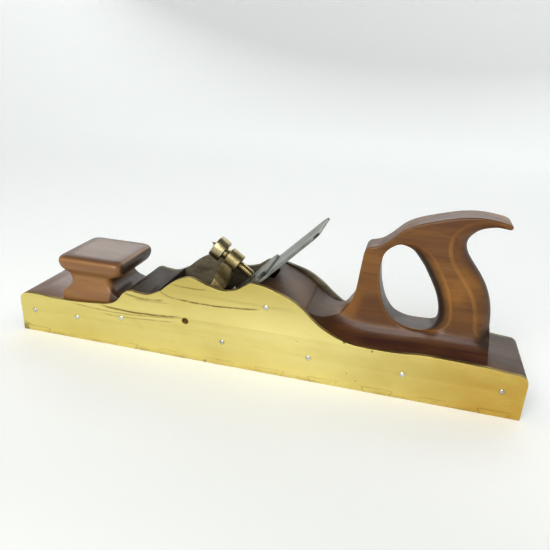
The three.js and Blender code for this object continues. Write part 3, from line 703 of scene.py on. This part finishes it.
LEVER_UNDER = [(18, 10.2), (30, 11), (45, 11.6), (60, 12.6), (74, 14), (82, 16.8), (90, 22.3)]
LEVER_OVER = [(84, 32), (75.6, 28.8), (67, 25.2), (52, 24.4), (36.6, 24.4), (24, 21.6), (14, 15)]


def lever_cap():
    """Cast bar on the cross pin: its nose presses the cap iron and its neck carries the screw's boss."""
    side = bend((9.6, 10), (9.8, 9), (11.6, 8.95), 4)
    side += spline([(11.6, 8.95), *LEVER_UNDER], 5)[1:] + [(96, 24), (93, 34)]
    side += spline([(93, 34), *LEVER_OVER], 5)[1:]
    half = INNER_HALF - 0.7
    plan = [(0, -half)] + bezier((50, -half), (62, -half), (58, -9), (78, -7.6), 10)
    plan += [(96, -7.4), (96, 7.4)] + bezier((78, 7.6), (58, 9), (62, half), (50, half), 10) + [(0, half)]
    body = slab("lever_cap_cast", side, [], -half, half, edge=0.1)
    stencil = slab("stencil", plan, [], 0, 60, edge=0.1)
    stencil.data.transform(Matrix.Translation(Vector((0, 0, 60))) @ Matrix.Rotation(-math.pi / 2, 4, "X"))
    combine(body, stencil, "INTERSECT")
    onto_axis = BED.inverted() @ SCREW_AXIS
    boss = turned("boss", rounded([(0.01, BOSS["from"]), (BOSS["radius"], BOSS["from"]),
                                   (BOSS["radius"], BOSS["to"]), (0.01, BOSS["to"])], 0.4), 64)
    boss.data.transform(onto_axis)
    combine(body, boss, "UNION")
    soften(body, 0.5, 3)
    bore = turned("bore", [(SCREW["radius"] + 0.25, -5), (SCREW["radius"] + 0.25, 60)], 48)
    bore.data.transform(onto_axis)
    combine(body, bore, "DIFFERENCE")
    pin = turned("pin", [(PIVOT["radius"] + 0.2, -40), (PIVOT["radius"] + 0.2, 40)], 40)
    pin.data.transform(BED.inverted() @ ROW @ Matrix.Translation(Vector((PIVOT["x"], 0, PIVOT["z"])))
                       @ QUARTER_TURN)
    combine(body, pin, "DIFFERENCE")
    return transform(tidy(body, 40, 0.003), BED)


def bezier(a, b, c, d, steps):
    """Points on a cubic curve."""
    a, b, c, d = (np.array(p, float) for p in (a, b, c, d))
    return [tuple((1 - t) ** 3 * a + 3 * t * (1 - t) ** 2 * b + 3 * t * t * (1 - t) * c + t**3 * d)
            for t in np.linspace(0, 1, steps + 1)]


def soften(obj, voxel, passes):
    """Melts hard edges a little, as casting and filing do."""
    remesh = obj.modifiers.new("remesh", "REMESH")
    remesh.mode = "VOXEL"
    remesh.voxel_size = voxel
    remesh.use_smooth_shade = True
    smooth = obj.modifiers.new("smooth", "SMOOTH")
    smooth.factor = 0.5
    smooth.iterations = passes
    apply_modifiers(obj)


def screw_shank():
    """Threaded rod with a plain collar under the knob; the thread is one continuous helix."""
    sides, per_turn = 48, 10
    radius, pitch, depth = SCREW["radius"], SCREW["pitch"], SCREW["depth"]
    start, end = 0.9, BOSS["to"] + 0.7
    profile = [(0.01, 0), (1.6, 0.05), (2.5, 0.35), (radius - depth - 0.1, start)]
    heights = np.arange(start, end, pitch / per_turn)
    profile += [(radius - depth, z) for z in heights]
    profile += [(radius - depth, end), (NECK_RADIUS - 0.2, end), (NECK_RADIUS, end + 0.2),
                (NECK_RADIUS, KNOB["from"] - 0.35), (SCREW["radius"], KNOB["from"] - 0.3),
                (SCREW["radius"], KNOB["from"] + 5.7), (0.01, KNOB["from"] + 5.7)]

    def thread(angle, height, r):
        if not start < height < end - 0.1 or abs(r - radius + depth) > 1e-6:
            return 0
        turn = (height / pitch - angle / (2 * math.pi)) % 1
        fade = min(1, (height - start) / pitch, (end - height) / pitch)
        return depth * fade * min(1, 1.35 * (1 - abs(2 * turn - 1)))

    obj = turned("thumb_screw_shank_threaded", profile, sides, thread)
    return transform(tidy(obj, 50, 0.002), SCREW_AXIS)


def screw_knob():
    """Drum knob with eased rims and a pointed nib."""
    bore = SCREW["radius"] + 0.15
    f, t, r = KNOB["from"], KNOB["to"], KNOB["radius"]
    rim = rounded([(bore, f), (r, f), (r, t), (KNOB["nib_radius"] + 0.3, t + 0.02)], 0.9, 4)
    nib = [(KNOB["nib_radius"], 0.15), (1.5, 1.0), (0.9, 2.3), (0.35, 3.6), (0.05, KNOB["nib"] - 0.02)]
    profile = [(0.01, f + 6), (bore, f + 6)] + rim + [(radius, t + up) for radius, up in nib]
    return transform(tidy(turned("thumb_screw_knob_turned", profile, 72), 40, 0.002), SCREW_AXIS)


# ---------------------------------------------------------------- materials


class Nodes:
    """Short ways to build the node tree of a material or a world."""

    def __init__(self, owner, coordinates="Object"):
        owner.use_nodes = True
        self.owner = owner
        self.tree = owner.node_tree
        self.place = self.tree.nodes.new("ShaderNodeTexCoord").outputs[coordinates]

    def feed(self, socket, source):
        """Links an output to a socket, or sets the socket to a plain value."""
        if hasattr(source, "is_linked"):
            self.tree.links.new(source, socket)
        elif socket.type == "RGBA":
            socket.default_value = (*source, 1.0)
        elif source is not None:
            socket.default_value = source

    def add(self, kind, sources, **settings):
        """A new node with its settings made and its inputs fed, by name or number."""
        node = self.tree.nodes.new("ShaderNode" + kind)
        for key, value in settings.items():
            setattr(node, key, value)
        for key, source in sources.items():
            self.feed(node.inputs[key], source)
        return node

    def surface(self, **values):
        """Feeds the material's shader; Base_Color stands for its Base Color, and so on."""
        shader = next(node for node in self.tree.nodes if node.type == "BSDF_PRINCIPLED")
        for key, value in values.items():
            self.feed(shader.inputs[key.replace("_", " ")], value)
        return self.owner

    def noise(self, scale, detail=4.0, roughness=0.55, stretch=(1, 1, 1), offset=(0, 0, 0), distortion=0.0):
        mapping = self.add("Mapping", {"Vector": self.place, "Scale": stretch, "Location": offset})
        sources = {"Vector": mapping.outputs["Vector"], "Scale": scale, "Detail": detail,
                   "Roughness": roughness, "Distortion": distortion}
        return self.add("TexNoise", sources).outputs["Fac"]

    def ramp(self, source, low, high, out_low=0.0, out_high=1.0):
        """Eases from out_low to out_high while the source goes from low to high."""
        sources = {"Value": source, "From Min": low, "From Max": high, "To Min": out_low, "To Max": out_high}
        return self.add("MapRange", sources, interpolation_type="SMOOTHSTEP").outputs["Result"]

    def fade(self, source, low, high):
        return self.ramp(source, low, high, 1.0, 0.0)

    def math(self, operation, *values):
        return self.add("Math", dict(enumerate(values)), operation=operation).outputs[0]

    def times(self, product, *others):
        """Product of outputs and plain numbers."""
        for other in others:
            product = self.math("MULTIPLY", product, other)
        return product

    def mix(self, factor, a, b):
        return self.add("Mix", {0: factor, 6: a, 7: b}, data_type="RGBA").outputs[2]

    def layers(self, colour, patches, lift=1.0):
        """Lays patches over a colour. Each says where, how strongly, and in which colour."""
        for mask, strength, tone in patches:
            if isinstance(tone, tuple):
                tone = srgb(*tone, lift=lift)
            colour = self.mix(self.times(mask, strength), colour, tone)
        return colour

    def axes(self):
        return self.add("SeparateXYZ", {0: self.place}).outputs[:3]

    def millimetres(self):
        """How far a point is from the toe, from the middle plane and above the sole's underside."""
        x, y, z = self.axes()
        along = self.math("MULTIPLY_ADD", x, 1000.0, BODY_LENGTH / 2)
        return along, self.times(self.math("ABSOLUTE", y), 1000.0), self.times(z, 1000.0)

    def bump(self, height, strength, distance, normal=None):
        sources = {"Strength": strength, "Distance": distance, "Height": height, "Normal": normal}
        return self.add("Bump", sources).outputs["Normal"]


def material(name):
    return Nodes(bpy.data.materials.new(name))


def srgb(*levels, lift=1.0):
    """An 8-bit screen colour as a linear colour, made darker or lighter by lift."""
    shares = [v / 255 for v in levels]
    return tuple(lift * (v / 12.92 if v < 0.0404 else ((v + 0.055) / 1.055) ** 2.4) for v in shares)


# Long scratches on the left plate: start and end along the tool, heights at start, middle and end,
# half-width and strength. Millimetres, from the toe.
SCRATCHES = [
    (50, 173, 37.1, 34.4, 41.2, 0.26, 0.55),
    (82, 166, 39.5, 37.3, 41.0, 0.42, 0.95),
    (84, 162, 30.8, 31.6, 35.3, 0.24, 0.45),
    (108, 150, 55.4, 52.1, 54.2, 0.45, 0.55),
    (143, 160, 63.5, 59.0, 57.2, 0.36, 0.5),
    (156, 238, 57.6, 56.6, 60.0, 0.36, 0.95),
    (155, 190, 70.8, 69.3, 70.2, 0.26, 0.6),
    (118, 156, 50.9, 50.6, 52.6, 0.22, 0.35),
]
# Nicks: distance from the toe, height and size.
NICKS = [(308.1, 42.9, 1.6), (330.9, 38.8, 1.1), (312.5, 14.5, 0.5), (320.2, 8.6, 0.5), (186.9, 0.9, 1.6)]


def scratch_mask(n, along, up, scratch):
    """How strongly one long curved scratch marks the point."""
    x0, x1, z0, z_mid, z1, width, strength = scratch
    u = n.math("DIVIDE", n.math("SUBTRACT", along, x0), x1 - x0)
    curve = z0 + z1 - 2 * z_mid
    height = n.math("ADD", n.times(u, u, 2 * curve), n.math("MULTIPLY_ADD", u, z1 - z0 - 2 * curve, z0))
    gap = n.math("ABSOLUTE", n.math("SUBTRACT", up, height))
    ends = n.times(n.ramp(u, 0.0, 0.14), n.fade(u, 0.86, 1.0))
    return n.times(n.fade(gap, width, width * 3.2), ends, strength)


def away(n, along, up, x, z, wide=1.0, tall=1.0):
    """Distance from a point on the side of the body, counted in units of wide and tall. Millimetres."""
    dx = n.math("DIVIDE", n.math("SUBTRACT", along, x), wide)
    dz = n.math("DIVIDE", n.math("SUBTRACT", up, z), tall)
    return n.math("SQRT", n.math("ADD", n.times(dx, dx), n.times(dz, dz)))


def near_point(n, along, up, x, z, inner, outer):
    """1 within `inner` of a point on the side of the body, fading to 0 at `outer`. Millimetres."""
    return n.fade(away(n, along, up, x, z), inner, outer)


def joint_lines(n, along, up):
    """Thin lines where the sole's dovetail pins show in the plate."""
    pitch, half, flare = (DOVETAIL[key] for key in ("pitch", "half", "flare"))
    # Whole pitches keep the remainder positive, and the half one puts a pin's middle at half a pitch.
    shifted = n.math("ADD", along, pitch * 10.5 - DOVETAIL["first"])
    place = n.math("ABSOLUTE", n.math("SUBTRACT", n.math("MODULO", shifted, pitch), pitch / 2))
    lean = n.math("MULTIPLY_ADD", up, 2 * flare / SOLE_THICKNESS, half - flare)
    flank = n.fade(n.math("ABSOLUTE", n.math("SUBTRACT", place, lean)), 0.2, 0.6)
    below = n.fade(up, SOLE_THICKNESS, SOLE_THICKNESS + 0.3)
    top = n.fade(n.math("ABSOLUTE", n.math("SUBTRACT", up, SOLE_THICKNESS)), 0.15, 0.5)
    return n.math("MAXIMUM", n.times(flank, below), n.times(top, n.fade(place, half, half + 1), 0.5))


def hand_marks(n, along, up, fine, seed):
    """The long scratches and the nicks of the left plate, wandering a little."""
    wobble = n.math("MULTIPLY_ADD", n.noise(60, 3, offset=(seed, 0, 0)), 1.6, -0.8)
    up = n.math("ADD", up, wobble)
    broken = n.ramp(n.noise(320, 3, 0.7, (0.5, 1, 1)), 0.3, 0.6, 0.45, 1.0)
    soft = n.ramp(fine, 0.3, 0.5, 0.4, 1.0)
    marks = [n.times(scratch_mask(n, along, up, scratch), broken) for scratch in SCRATCHES]
    nicks = [near_point(n, along, up, x, z, size * 0.4, size * 1.3) for x, z, size in NICKS]
    return marks + [n.times(nick, soft) for nick in nicks]


def brass_plate(name, seed, dull_shaded_light, dull_shaded_dark, scratched=False):
    """Sheet brass: polished outside, with blotches, marks and an orange tarnish near the heel; a painted
    reflection along the middle; painted shade towards the top, along the bottom edge and round the rivets.
    Its edges and inner faces are left unpolished and brown, and darkened as painted shade."""
    n = material(name)
    along, side, up = n.millimetres()
    broad = n.noise(7, 4, 0.55, (1, 1, 1.6), (seed, 0, 0))
    fine = n.noise(70, 6, 0.65, (0.6, 1, 1.4), (0, seed, 0))
    grain = n.noise(900, 3, 0.5, (0.05, 1, 1), (0, 0, seed))
    heel = n.times(n.ramp(along, BODY_LENGTH * 0.7, BODY_LENGTH), n.ramp(fine, 0.3, 0.6, 0.55, 1.0))
    colour = n.mix(n.ramp(broad, 0.38, 0.72), srgb(232, 220, 152), srgb(216, 198, 124))
    colour = n.layers(colour, [
        (n.ramp(fine, 0.55, 0.8), 0.3, (208, 184, 104)),
        # Painted reflection: a bright band along the middle of the plate.
        (n.times(n.ramp(along, 180, 260), n.fade(along, 270, 350)), 0.45, (252, 242, 178)),
        # Painted shade: the plate grows darker towards its top.
        (n.ramp(up, 38, 82), 0.75, (188, 172, 100)),
        (heel, 0.75, (206, 170, 84)),
        (n.fade(along, 0.0, BODY_LENGTH * 0.45), 0.35, (222, 204, 118)),
        # Painted shade: a patchy dark band along the bottom edge, where the body meets the table.
        (n.times(n.fade(up, 0.0, 5.0), n.ramp(fine, 0.4, 0.65, 0.15, 1.0)), 0.5, (176, 150, 78)),
    ])
    marks = [n.times(n.ramp(n.noise(210, 2, 0.4, (0.5, 1, 1), (seed, seed, 0)), 0.74, 0.82), 0.5)]
    marks.append(n.times(joint_lines(n, along, up), n.ramp(n.noise(45, 3, 0.6), 0.45, 0.62, 0.0, 0.5)))
    # Painted shade: a dark ring round each rivet head.
    marks += [n.times(near_point(n, along, up, x, z, 2.0, 2.9), 0.5) for x, z in RIVET_PLACES]
    if scratched:
        marks += hand_marks(n, along, up, fine, seed)
        colour = n.layers(colour, [
            (near_point(n, along, up, 3, 1, 3.0, 9.0), 0.6, (132, 122, 62)),
            (near_point(n, along, up, PIVOT["x"], PIVOT["z"], 2.2, 4.2), 1.0, (190, 160, 84)),
        ])
    marks_and_rivet_shade = marks[0]
    for mark in marks[1:]:
        marks_and_rivet_shade = n.math("MAXIMUM", marks_and_rivet_shade, mark)
    # Marks in a darker brass, with the painted shade round the rivets in the same colour.
    colour = n.layers(colour, [(marks_and_rivet_shade, 0.8, (116, 92, 46))])
    outer = n.ramp(side, HALF_WIDTH - 0.45, HALF_WIDTH - 0.12)
    # Unpolished edges and inner faces, darkened as painted shade.
    dull_and_shaded = n.mix(n.ramp(fine, 0.35, 0.65), srgb(*dull_shaded_light), srgb(*dull_shaded_dark))
    rough = n.math("ADD", n.times(fine, 0.14), n.math("MULTIPLY_ADD", marks_and_rivet_shade, 0.2, 0.26))
    soft = n.bump(n.math("ADD", n.times(grain, 0.35), fine), 0.08, 0.0006)
    return n.surface(Base_Color=n.mix(outer, dull_and_shaded, colour),
                     Metallic=n.math("MULTIPLY_ADD", outer, 0.45, 0.55),
                     Roughness=n.math("ADD", rough, n.math("MULTIPLY_ADD", outer, -0.18, 0.18)),
                     Normal=n.bump(n.times(marks_and_rivet_shade, -1.0), 0.4, 0.0003, soft))


def aged_brass(name, light, dark, roughness):
    """Turned or cast brass gone brown, with darker specks."""
    n = material(name)
    broad = n.noise(120, 5, 0.6)
    fine = n.noise(700, 4, 0.6)
    colour = n.mix(n.ramp(broad, 0.36, 0.66), srgb(*light), srgb(*dark))
    return n.surface(Base_Color=n.layers(colour, [(n.ramp(fine, 0.55, 0.75), 0.4, dark)], 0.55),
                     Metallic=1.0,
                     Roughness=n.math("MULTIPLY_ADD", broad, 0.22, roughness - 0.08),
                     Normal=n.bump(fine, 0.15, 0.0002))


def steel(name, light, dark, roughness, stretch=(1, 1, 1)):
    """Ground steel with grinding lines across it, and thin grey-brown stains."""
    n = material(name)
    lines = n.noise(1400, 2, 0.5, stretch)
    stain = n.noise(45, 6, 0.65)
    spots = n.noise(260, 4, 0.6)
    colour = n.mix(n.ramp(stain, 0.42, 0.7), srgb(*light), srgb(*dark))
    return n.surface(Base_Color=n.layers(colour, [(n.ramp(spots, 0.62, 0.74), 0.6, (92, 80, 64))]),
                     Metallic=1.0,
                     Roughness=n.math("MULTIPLY_ADD", stain, 0.25, roughness - 0.1),
                     Normal=n.bump(n.math("ADD", lines, spots), 0.16, 0.0002))


def handle_grime_and_painted_light(n, rings, wear, lift, coat, rough):
    """Grime and old polish in the handle's hollows and on its lower part, darkened there also as painted
    shade; painted shade in the hand hole, on the palm side of the grip, on the foot in front and at the back
    of the foot; and a painted highlight along the arrises, broken up like wear.
    """
    along, side, up = n.millimetres()
    hollows_and_shade = n.ramp(side, HANDLE_HALF + 0.05, HANDLE_HALF + 2.5)
    low = n.fade(n.math("ADD", up, n.times(wear, 14.0)), 60, 74)
    grime_and_shade = n.mix(n.ramp(rings, 0.4, 0.62), srgb(120, 76, 50, lift=lift), srgb(84, 46, 38, lift=lift))
    hole = n.times(n.fade(away(n, along, up, *HOLE_OVAL), 1.02, 1.12), n.fade(up, 118, 124))
    palm = n.times(n.ramp(along, 372, 380), n.fade(up, 136, 144), n.ramp(side, 3.0, 11.0, 0.75, 0.0))
    arris = n.times(n.ramp(side, 11.2, 12.0), n.fade(side, 12.25, 12.45), n.ramp(wear, 0.35, 0.6, 0.15, 0.6))
    patches = [
        # Grime in the hollows and on the lower part, darkened further as painted shade.
        (n.math("MAXIMUM", hollows_and_shade, n.times(low, 0.45)), 0.85, grime_and_shade),
        # Painted shade in the hand hole and on the palm side of the grip.
        (n.times(hole, n.fade(side, 8.5, 11.3)), 0.9, (84, 72, 62)),
        (palm, 1.0, (84, 50, 46)),
        # Painted highlight: a lighter line along the arrises, broken up like wear.
        (arris, 1.0, (206, 148, 70)),
        # Painted shade on the foot in front and at the back of the foot.
        (n.fade(along, 290, 304), 0.85, (100, 68, 36)),
        (near_point(n, along, up, 417, 55, 3, 10), 0.8, (52, 42, 30)),
    ]
    return patches, n.times(n.ramp(along, 288, 304, 0.3, 1.0), coat), rough


def bun_figure_and_painted_light(n, rings, wear, lift, coat, rough):
    """A calmer figure; a painted highlight along the flanks' upper edges; level faces glossier and darker,
    the darkening painted shade; and painted shade on the side towards the iron and on the infill behind the
    bun.
    """
    along, side, up = n.millimetres()
    heel = BUN["heel"]
    level = n.math("MAXIMUM", n.ramp(up, 79.0, 80.4), n.fade(along, 40.0, 44.0))
    behind = n.ramp(along, heel - 2, heel + 6)
    neck = n.times(n.ramp(along, heel - 16.5, heel - 13), n.fade(up, 62, 66))
    slab_end = n.times(n.ramp(along, heel - 3, heel - 0.5), n.fade(up, 77.5, 79))
    patches = [
        (0.5, 1.0, (162, 126, 88)),
        # Painted highlight: a lighter band along the flanks' upper edges.
        (n.times(n.ramp(side, 30.6, 31.8), n.ramp(up, 75.5, 78.0)), 0.35, (208, 164, 104)),
        # Painted shade: the top and the deck in front of the bun darker.
        (level, 0.75, (112, 84, 66)),
        # Painted shade on the bun's side towards the iron, and on the infill behind it.
        (n.math("MAXIMUM", neck, slab_end), 0.8, (52, 38, 32)),
        (behind, 0.85, (72, 62, 50)),
    ]
    gloss = n.times(n.math("MULTIPLY_ADD", level, 0.14, coat), n.math("MULTIPLY_ADD", behind, -0.45, 1.0))
    return patches, gloss, n.math("MULTIPLY_ADD", behind, 0.25, rough)


def mahogany(name, seed, lift, coat, tones_and_painted_light=None):
    """French-polished mahogany: fine open grain and ribbon figure along X, under a clear gloss."""
    n = material(name)
    figure = n.noise(26, 4, 0.55, (0.16, 1, 1), (seed, 0, seed), 0.6)
    rings = n.noise(150, 5, 0.6, (0.07, 1, 1), (0, seed, 0), 0.4)
    pores = n.noise(1500, 2, 0.5, (0.035, 1, 1), (0, 0, seed))
    wear = n.noise(16, 3, 0.5, offset=(seed, seed, 0))
    patches = [
        (n.ramp(rings, 0.42, 0.66), 0.45, (114, 66, 28)),
        (n.ramp(pores, 0.60, 0.70), 0.5, (74, 42, 26)),
        (n.ramp(wear, 0.48, 0.66), 0.6, (198, 138, 54)),
    ]
    gloss = coat
    rough = n.math("MULTIPLY_ADD", rings, 0.2, 0.32)
    # Further layers for one piece, among them painted light and shade.
    if tones_and_painted_light:
        more, gloss, rough = tones_and_painted_light(n, rings, wear, lift, coat, rough)
        patches += more
    colour = n.mix(n.ramp(figure, 0.32, 0.7), srgb(166, 116, 52, lift=lift), srgb(122, 76, 32, lift=lift))
    soft = n.bump(n.noise(40, 3, 0.5), 0.12, 0.001)
    return n.surface(Base_Color=n.layers(colour, patches, lift), Metallic=0.0, IOR=1.5, Coat_Weight=gloss,
                     Coat_Roughness=0.14, Roughness=rough,
                     Normal=n.bump(n.fade(pores, 0.58, 0.72), 0.12, 0.0002, soft))


def paint(obj, material):
    obj.data.materials.clear()
    obj.data.materials.append(material)
    return obj


# ---------------------------------------------------------------- assembly

BODY_OF_NODE = {n: body for body, nodes in frame["record"]["behaviour"]["bodies"].items() for n in nodes}


def stand_for(obj, node, material):
    """The piece takes the CAD node's place: its body and its part in the table."""
    paint(obj, material)
    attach(obj, BODY_OF_NODE[node])
    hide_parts(node)
    return obj


# The two colours after the seed are for the unpolished edges and inner faces, darkened as painted shade;
# greyest on the right plate, whose inner face shows.
LEFT_BRASS = brass_plate("brass_left", 0.0, (168, 148, 90), (124, 106, 62), scratched=True)
RIGHT_BRASS = brass_plate("brass_right", 3.7, (146, 138, 118), (112, 106, 90))
SOLE_BRASS = brass_plate("brass_sole", 0.0, (150, 132, 80), (110, 94, 56))
CAST_BRASS = aged_brass("brass_cast", (176, 164, 126), (136, 124, 88), 0.42)
TURNED_BRASS = aged_brass("brass_turned", (184, 175, 144), (154, 143, 108), 0.36)
BRIGHT_BRASS = aged_brass("brass_thread", (204, 192, 152), (166, 150, 110), 0.28)
IRON_STEEL = steel("steel_iron", (144, 146, 139), (112, 112, 105), 0.34, (1, 0.04, 1))
CAP_STEEL = steel("steel_cap", (138, 138, 130), (98, 96, 88), 0.38, (1, 0.05, 1))
RIVET_STEEL = steel("steel_rivet", (222, 222, 216), (170, 168, 160), 0.22)
DARK_STEEL = steel("steel_dark", (112, 88, 56), (64, 48, 32), 0.42)
# One mahogany in lit and shaded copies set by lift: the rear infill darkest, as painted shade, the handle
# darker than the bun.
BUN_WOOD = mahogany("mahogany_front", 1.3, 0.9, 0.34, bun_figure_and_painted_light)
BED_WOOD = mahogany("mahogany_rear", 4.1, 0.3, 0.08)
HANDLE_WOOD = mahogany("mahogany_handle", 7.9, 0.6, 0.2, handle_grime_and_painted_light)

paint(frame["nodes"]["sole_plate"], SOLE_BRASS)
eased = frame["nodes"]["sole_plate"].modifiers.new("eased", "BEVEL")
eased.width = 0.2 * MM
eased.segments = 2
eased.limit_method = "ANGLE"
eased.angle_limit = math.radians(40)

stand_for(side_plate("left_plate_polished", -1, LEFT_EDGE), "left_side_plate", LEFT_BRASS)
stand_for(side_plate("right_plate_polished", 1, RIGHT_EDGE), "right_side_plate", RIGHT_BRASS)
for number, place in enumerate(RIVET_PLACES, 1):
    stand_for(rivet(f"rivet_{number}_peened", place), f"cross_rivet_{number}", RIVET_STEEL)
stand_for(pivot_pin(), "lever_cap_pin", DARK_STEEL)
stand_for(front_infill(), "front_infill", BUN_WOOD)
stand_for(rear_infill(), "rear_infill", BED_WOOD)
stand_for(rear_handle(), "rear_handle", HANDLE_WOOD)
stand_for(cutting_iron(), "cutting_iron", IRON_STEEL)
stand_for(cap_iron(), "cap_iron", CAP_STEEL)
stand_for(cap_bush(), "cap_iron_bush", TURNED_BRASS)
stand_for(cap_screw(), "cap_iron_screw", DARK_STEEL)
stand_for(lever_cap(), "lever_cap", CAST_BRASS)
stand_for(screw_shank(), "thumb_screw_shank", BRIGHT_BRASS)
stand_for(screw_knob(), "thumb_screw_knob", TURNED_BRASS)

# ---------------------------------------------------------------- floor, light and camera


GLOW = 0.28                         # painted light: the card glows of its own, standing in for light falling on a table


def floor():
    """A pale floor that sweeps up into a backdrop all round, far outside the object."""
    flat, rim, height, sides = 1.5, 2.6, 1.1, 96
    sweep = np.linspace(0.1, math.pi / 2, 14)
    profile = [(0.02, 0), (flat, 0)]
    profile += [(flat + (rim - flat) * math.sin(a), height * (1 - math.cos(a))) for a in sweep]
    verts = [(r * math.cos(2 * math.pi * k / sides), r * math.sin(2 * math.pi * k / sides), z)
             for r, z in profile for k in range(sides)]
    faces = ring_faces(len(profile), sides) + [tuple(range(sides))[::-1]]
    obj = new_object("floor", verts, faces)
    obj.data.polygons.foreach_set("use_smooth", [True] * len(faces))
    n = material("floor_card")
    x, y, _ = n.axes()
    radius = n.math("SQRT", n.math("ADD", n.times(x, x), n.times(y, y)))
    # The glow is painted light: weaker in front of the tool, stronger towards the far backdrop and to its
    # right.
    far = n.times(n.ramp(radius, 0.8, 2.4, 0.0, 0.06), n.ramp(x, -1.5, 1.5, 1.0, 2.6))
    glow = n.math("MULTIPLY_ADD", n.ramp(y, -0.22, -0.06, 0.55, 1.0), GLOW, far)
    paint(obj, n.surface(Roughness=0.75, Base_Color=srgb(228, 229, 226),
                         Emission_Color=(0.97, 0.99, 1.0), Emission_Strength=glow))
    obj.location.z = -0.2 * MM


def light(name, place, aim, size, power, colour):
    data = bpy.data.lights.new(name, "AREA")
    data.shape = "RECTANGLE"
    data.size, data.size_y = size
    data.energy = power
    data.color = colour
    obj = bpy.data.objects.new(name, data)
    obj.location = place
    obj.rotation_euler = (Vector(aim) - Vector(place)).to_track_quat("-Z", "Y").to_euler()
    bpy.context.scene.collection.objects.link(obj)


def studio_sky():
    """A dim room that is bright behind the tool and to its left, and dark above the viewer."""
    world = bpy.data.worlds.new("studio")
    bpy.context.scene.world = world
    n = Nodes(world, "Generated")
    x, y, z = n.axes()
    behind = n.times(n.ramp(y, 0.0, 0.7, 0.0, 1.1), n.ramp(z, 0.55, 0.9, 1.0, 0.2))
    left = n.ramp(x, -0.95, -0.3, 0.3, 0.14)
    sky = n.tree.nodes["Background"]
    n.feed(sky.inputs["Color"], (0.94, 0.97, 1.0))
    n.feed(sky.inputs["Strength"], n.math("ADD", behind, left))


floor()
studio_sky()
light("key", (-0.1, -1.25, 1.0), (0, 0, 0.03), (1.2, 0.9), 19, (1.0, 0.985, 0.96))
light("back", (0.1, 1.7, 1.05), (0, 0, 0.05), (3.4, 0.8), 12, (0.96, 0.98, 1.0))

camera_data = bpy.data.cameras.new("camera")
camera_data.sensor_width = 36
camera_data.lens = 35.31
camera = bpy.data.objects.new("camera", camera_data)
bpy.context.scene.collection.objects.link(camera)
# The camera's own axes in the row frame: to its right, upwards, and back towards the viewer.
CAMERA_AXES = Matrix(((0.96439, 0.26042, 0.04634), (-0.13925, 0.35088, 0.92601),
                      (0.22490, -0.89949, 0.37463)))
camera.matrix_world = Matrix.Translation((0.1196, -0.4228, 0.2550)) @ CAMERA_AXES.transposed().to_4x4()
bpy.context.scene.camera = camera
view = bpy.context.scene.view_settings
view.view_transform = "Standard"
view.gamma = 0.8                    # a photograph's contrast: darks fall away faster than they do to the eye
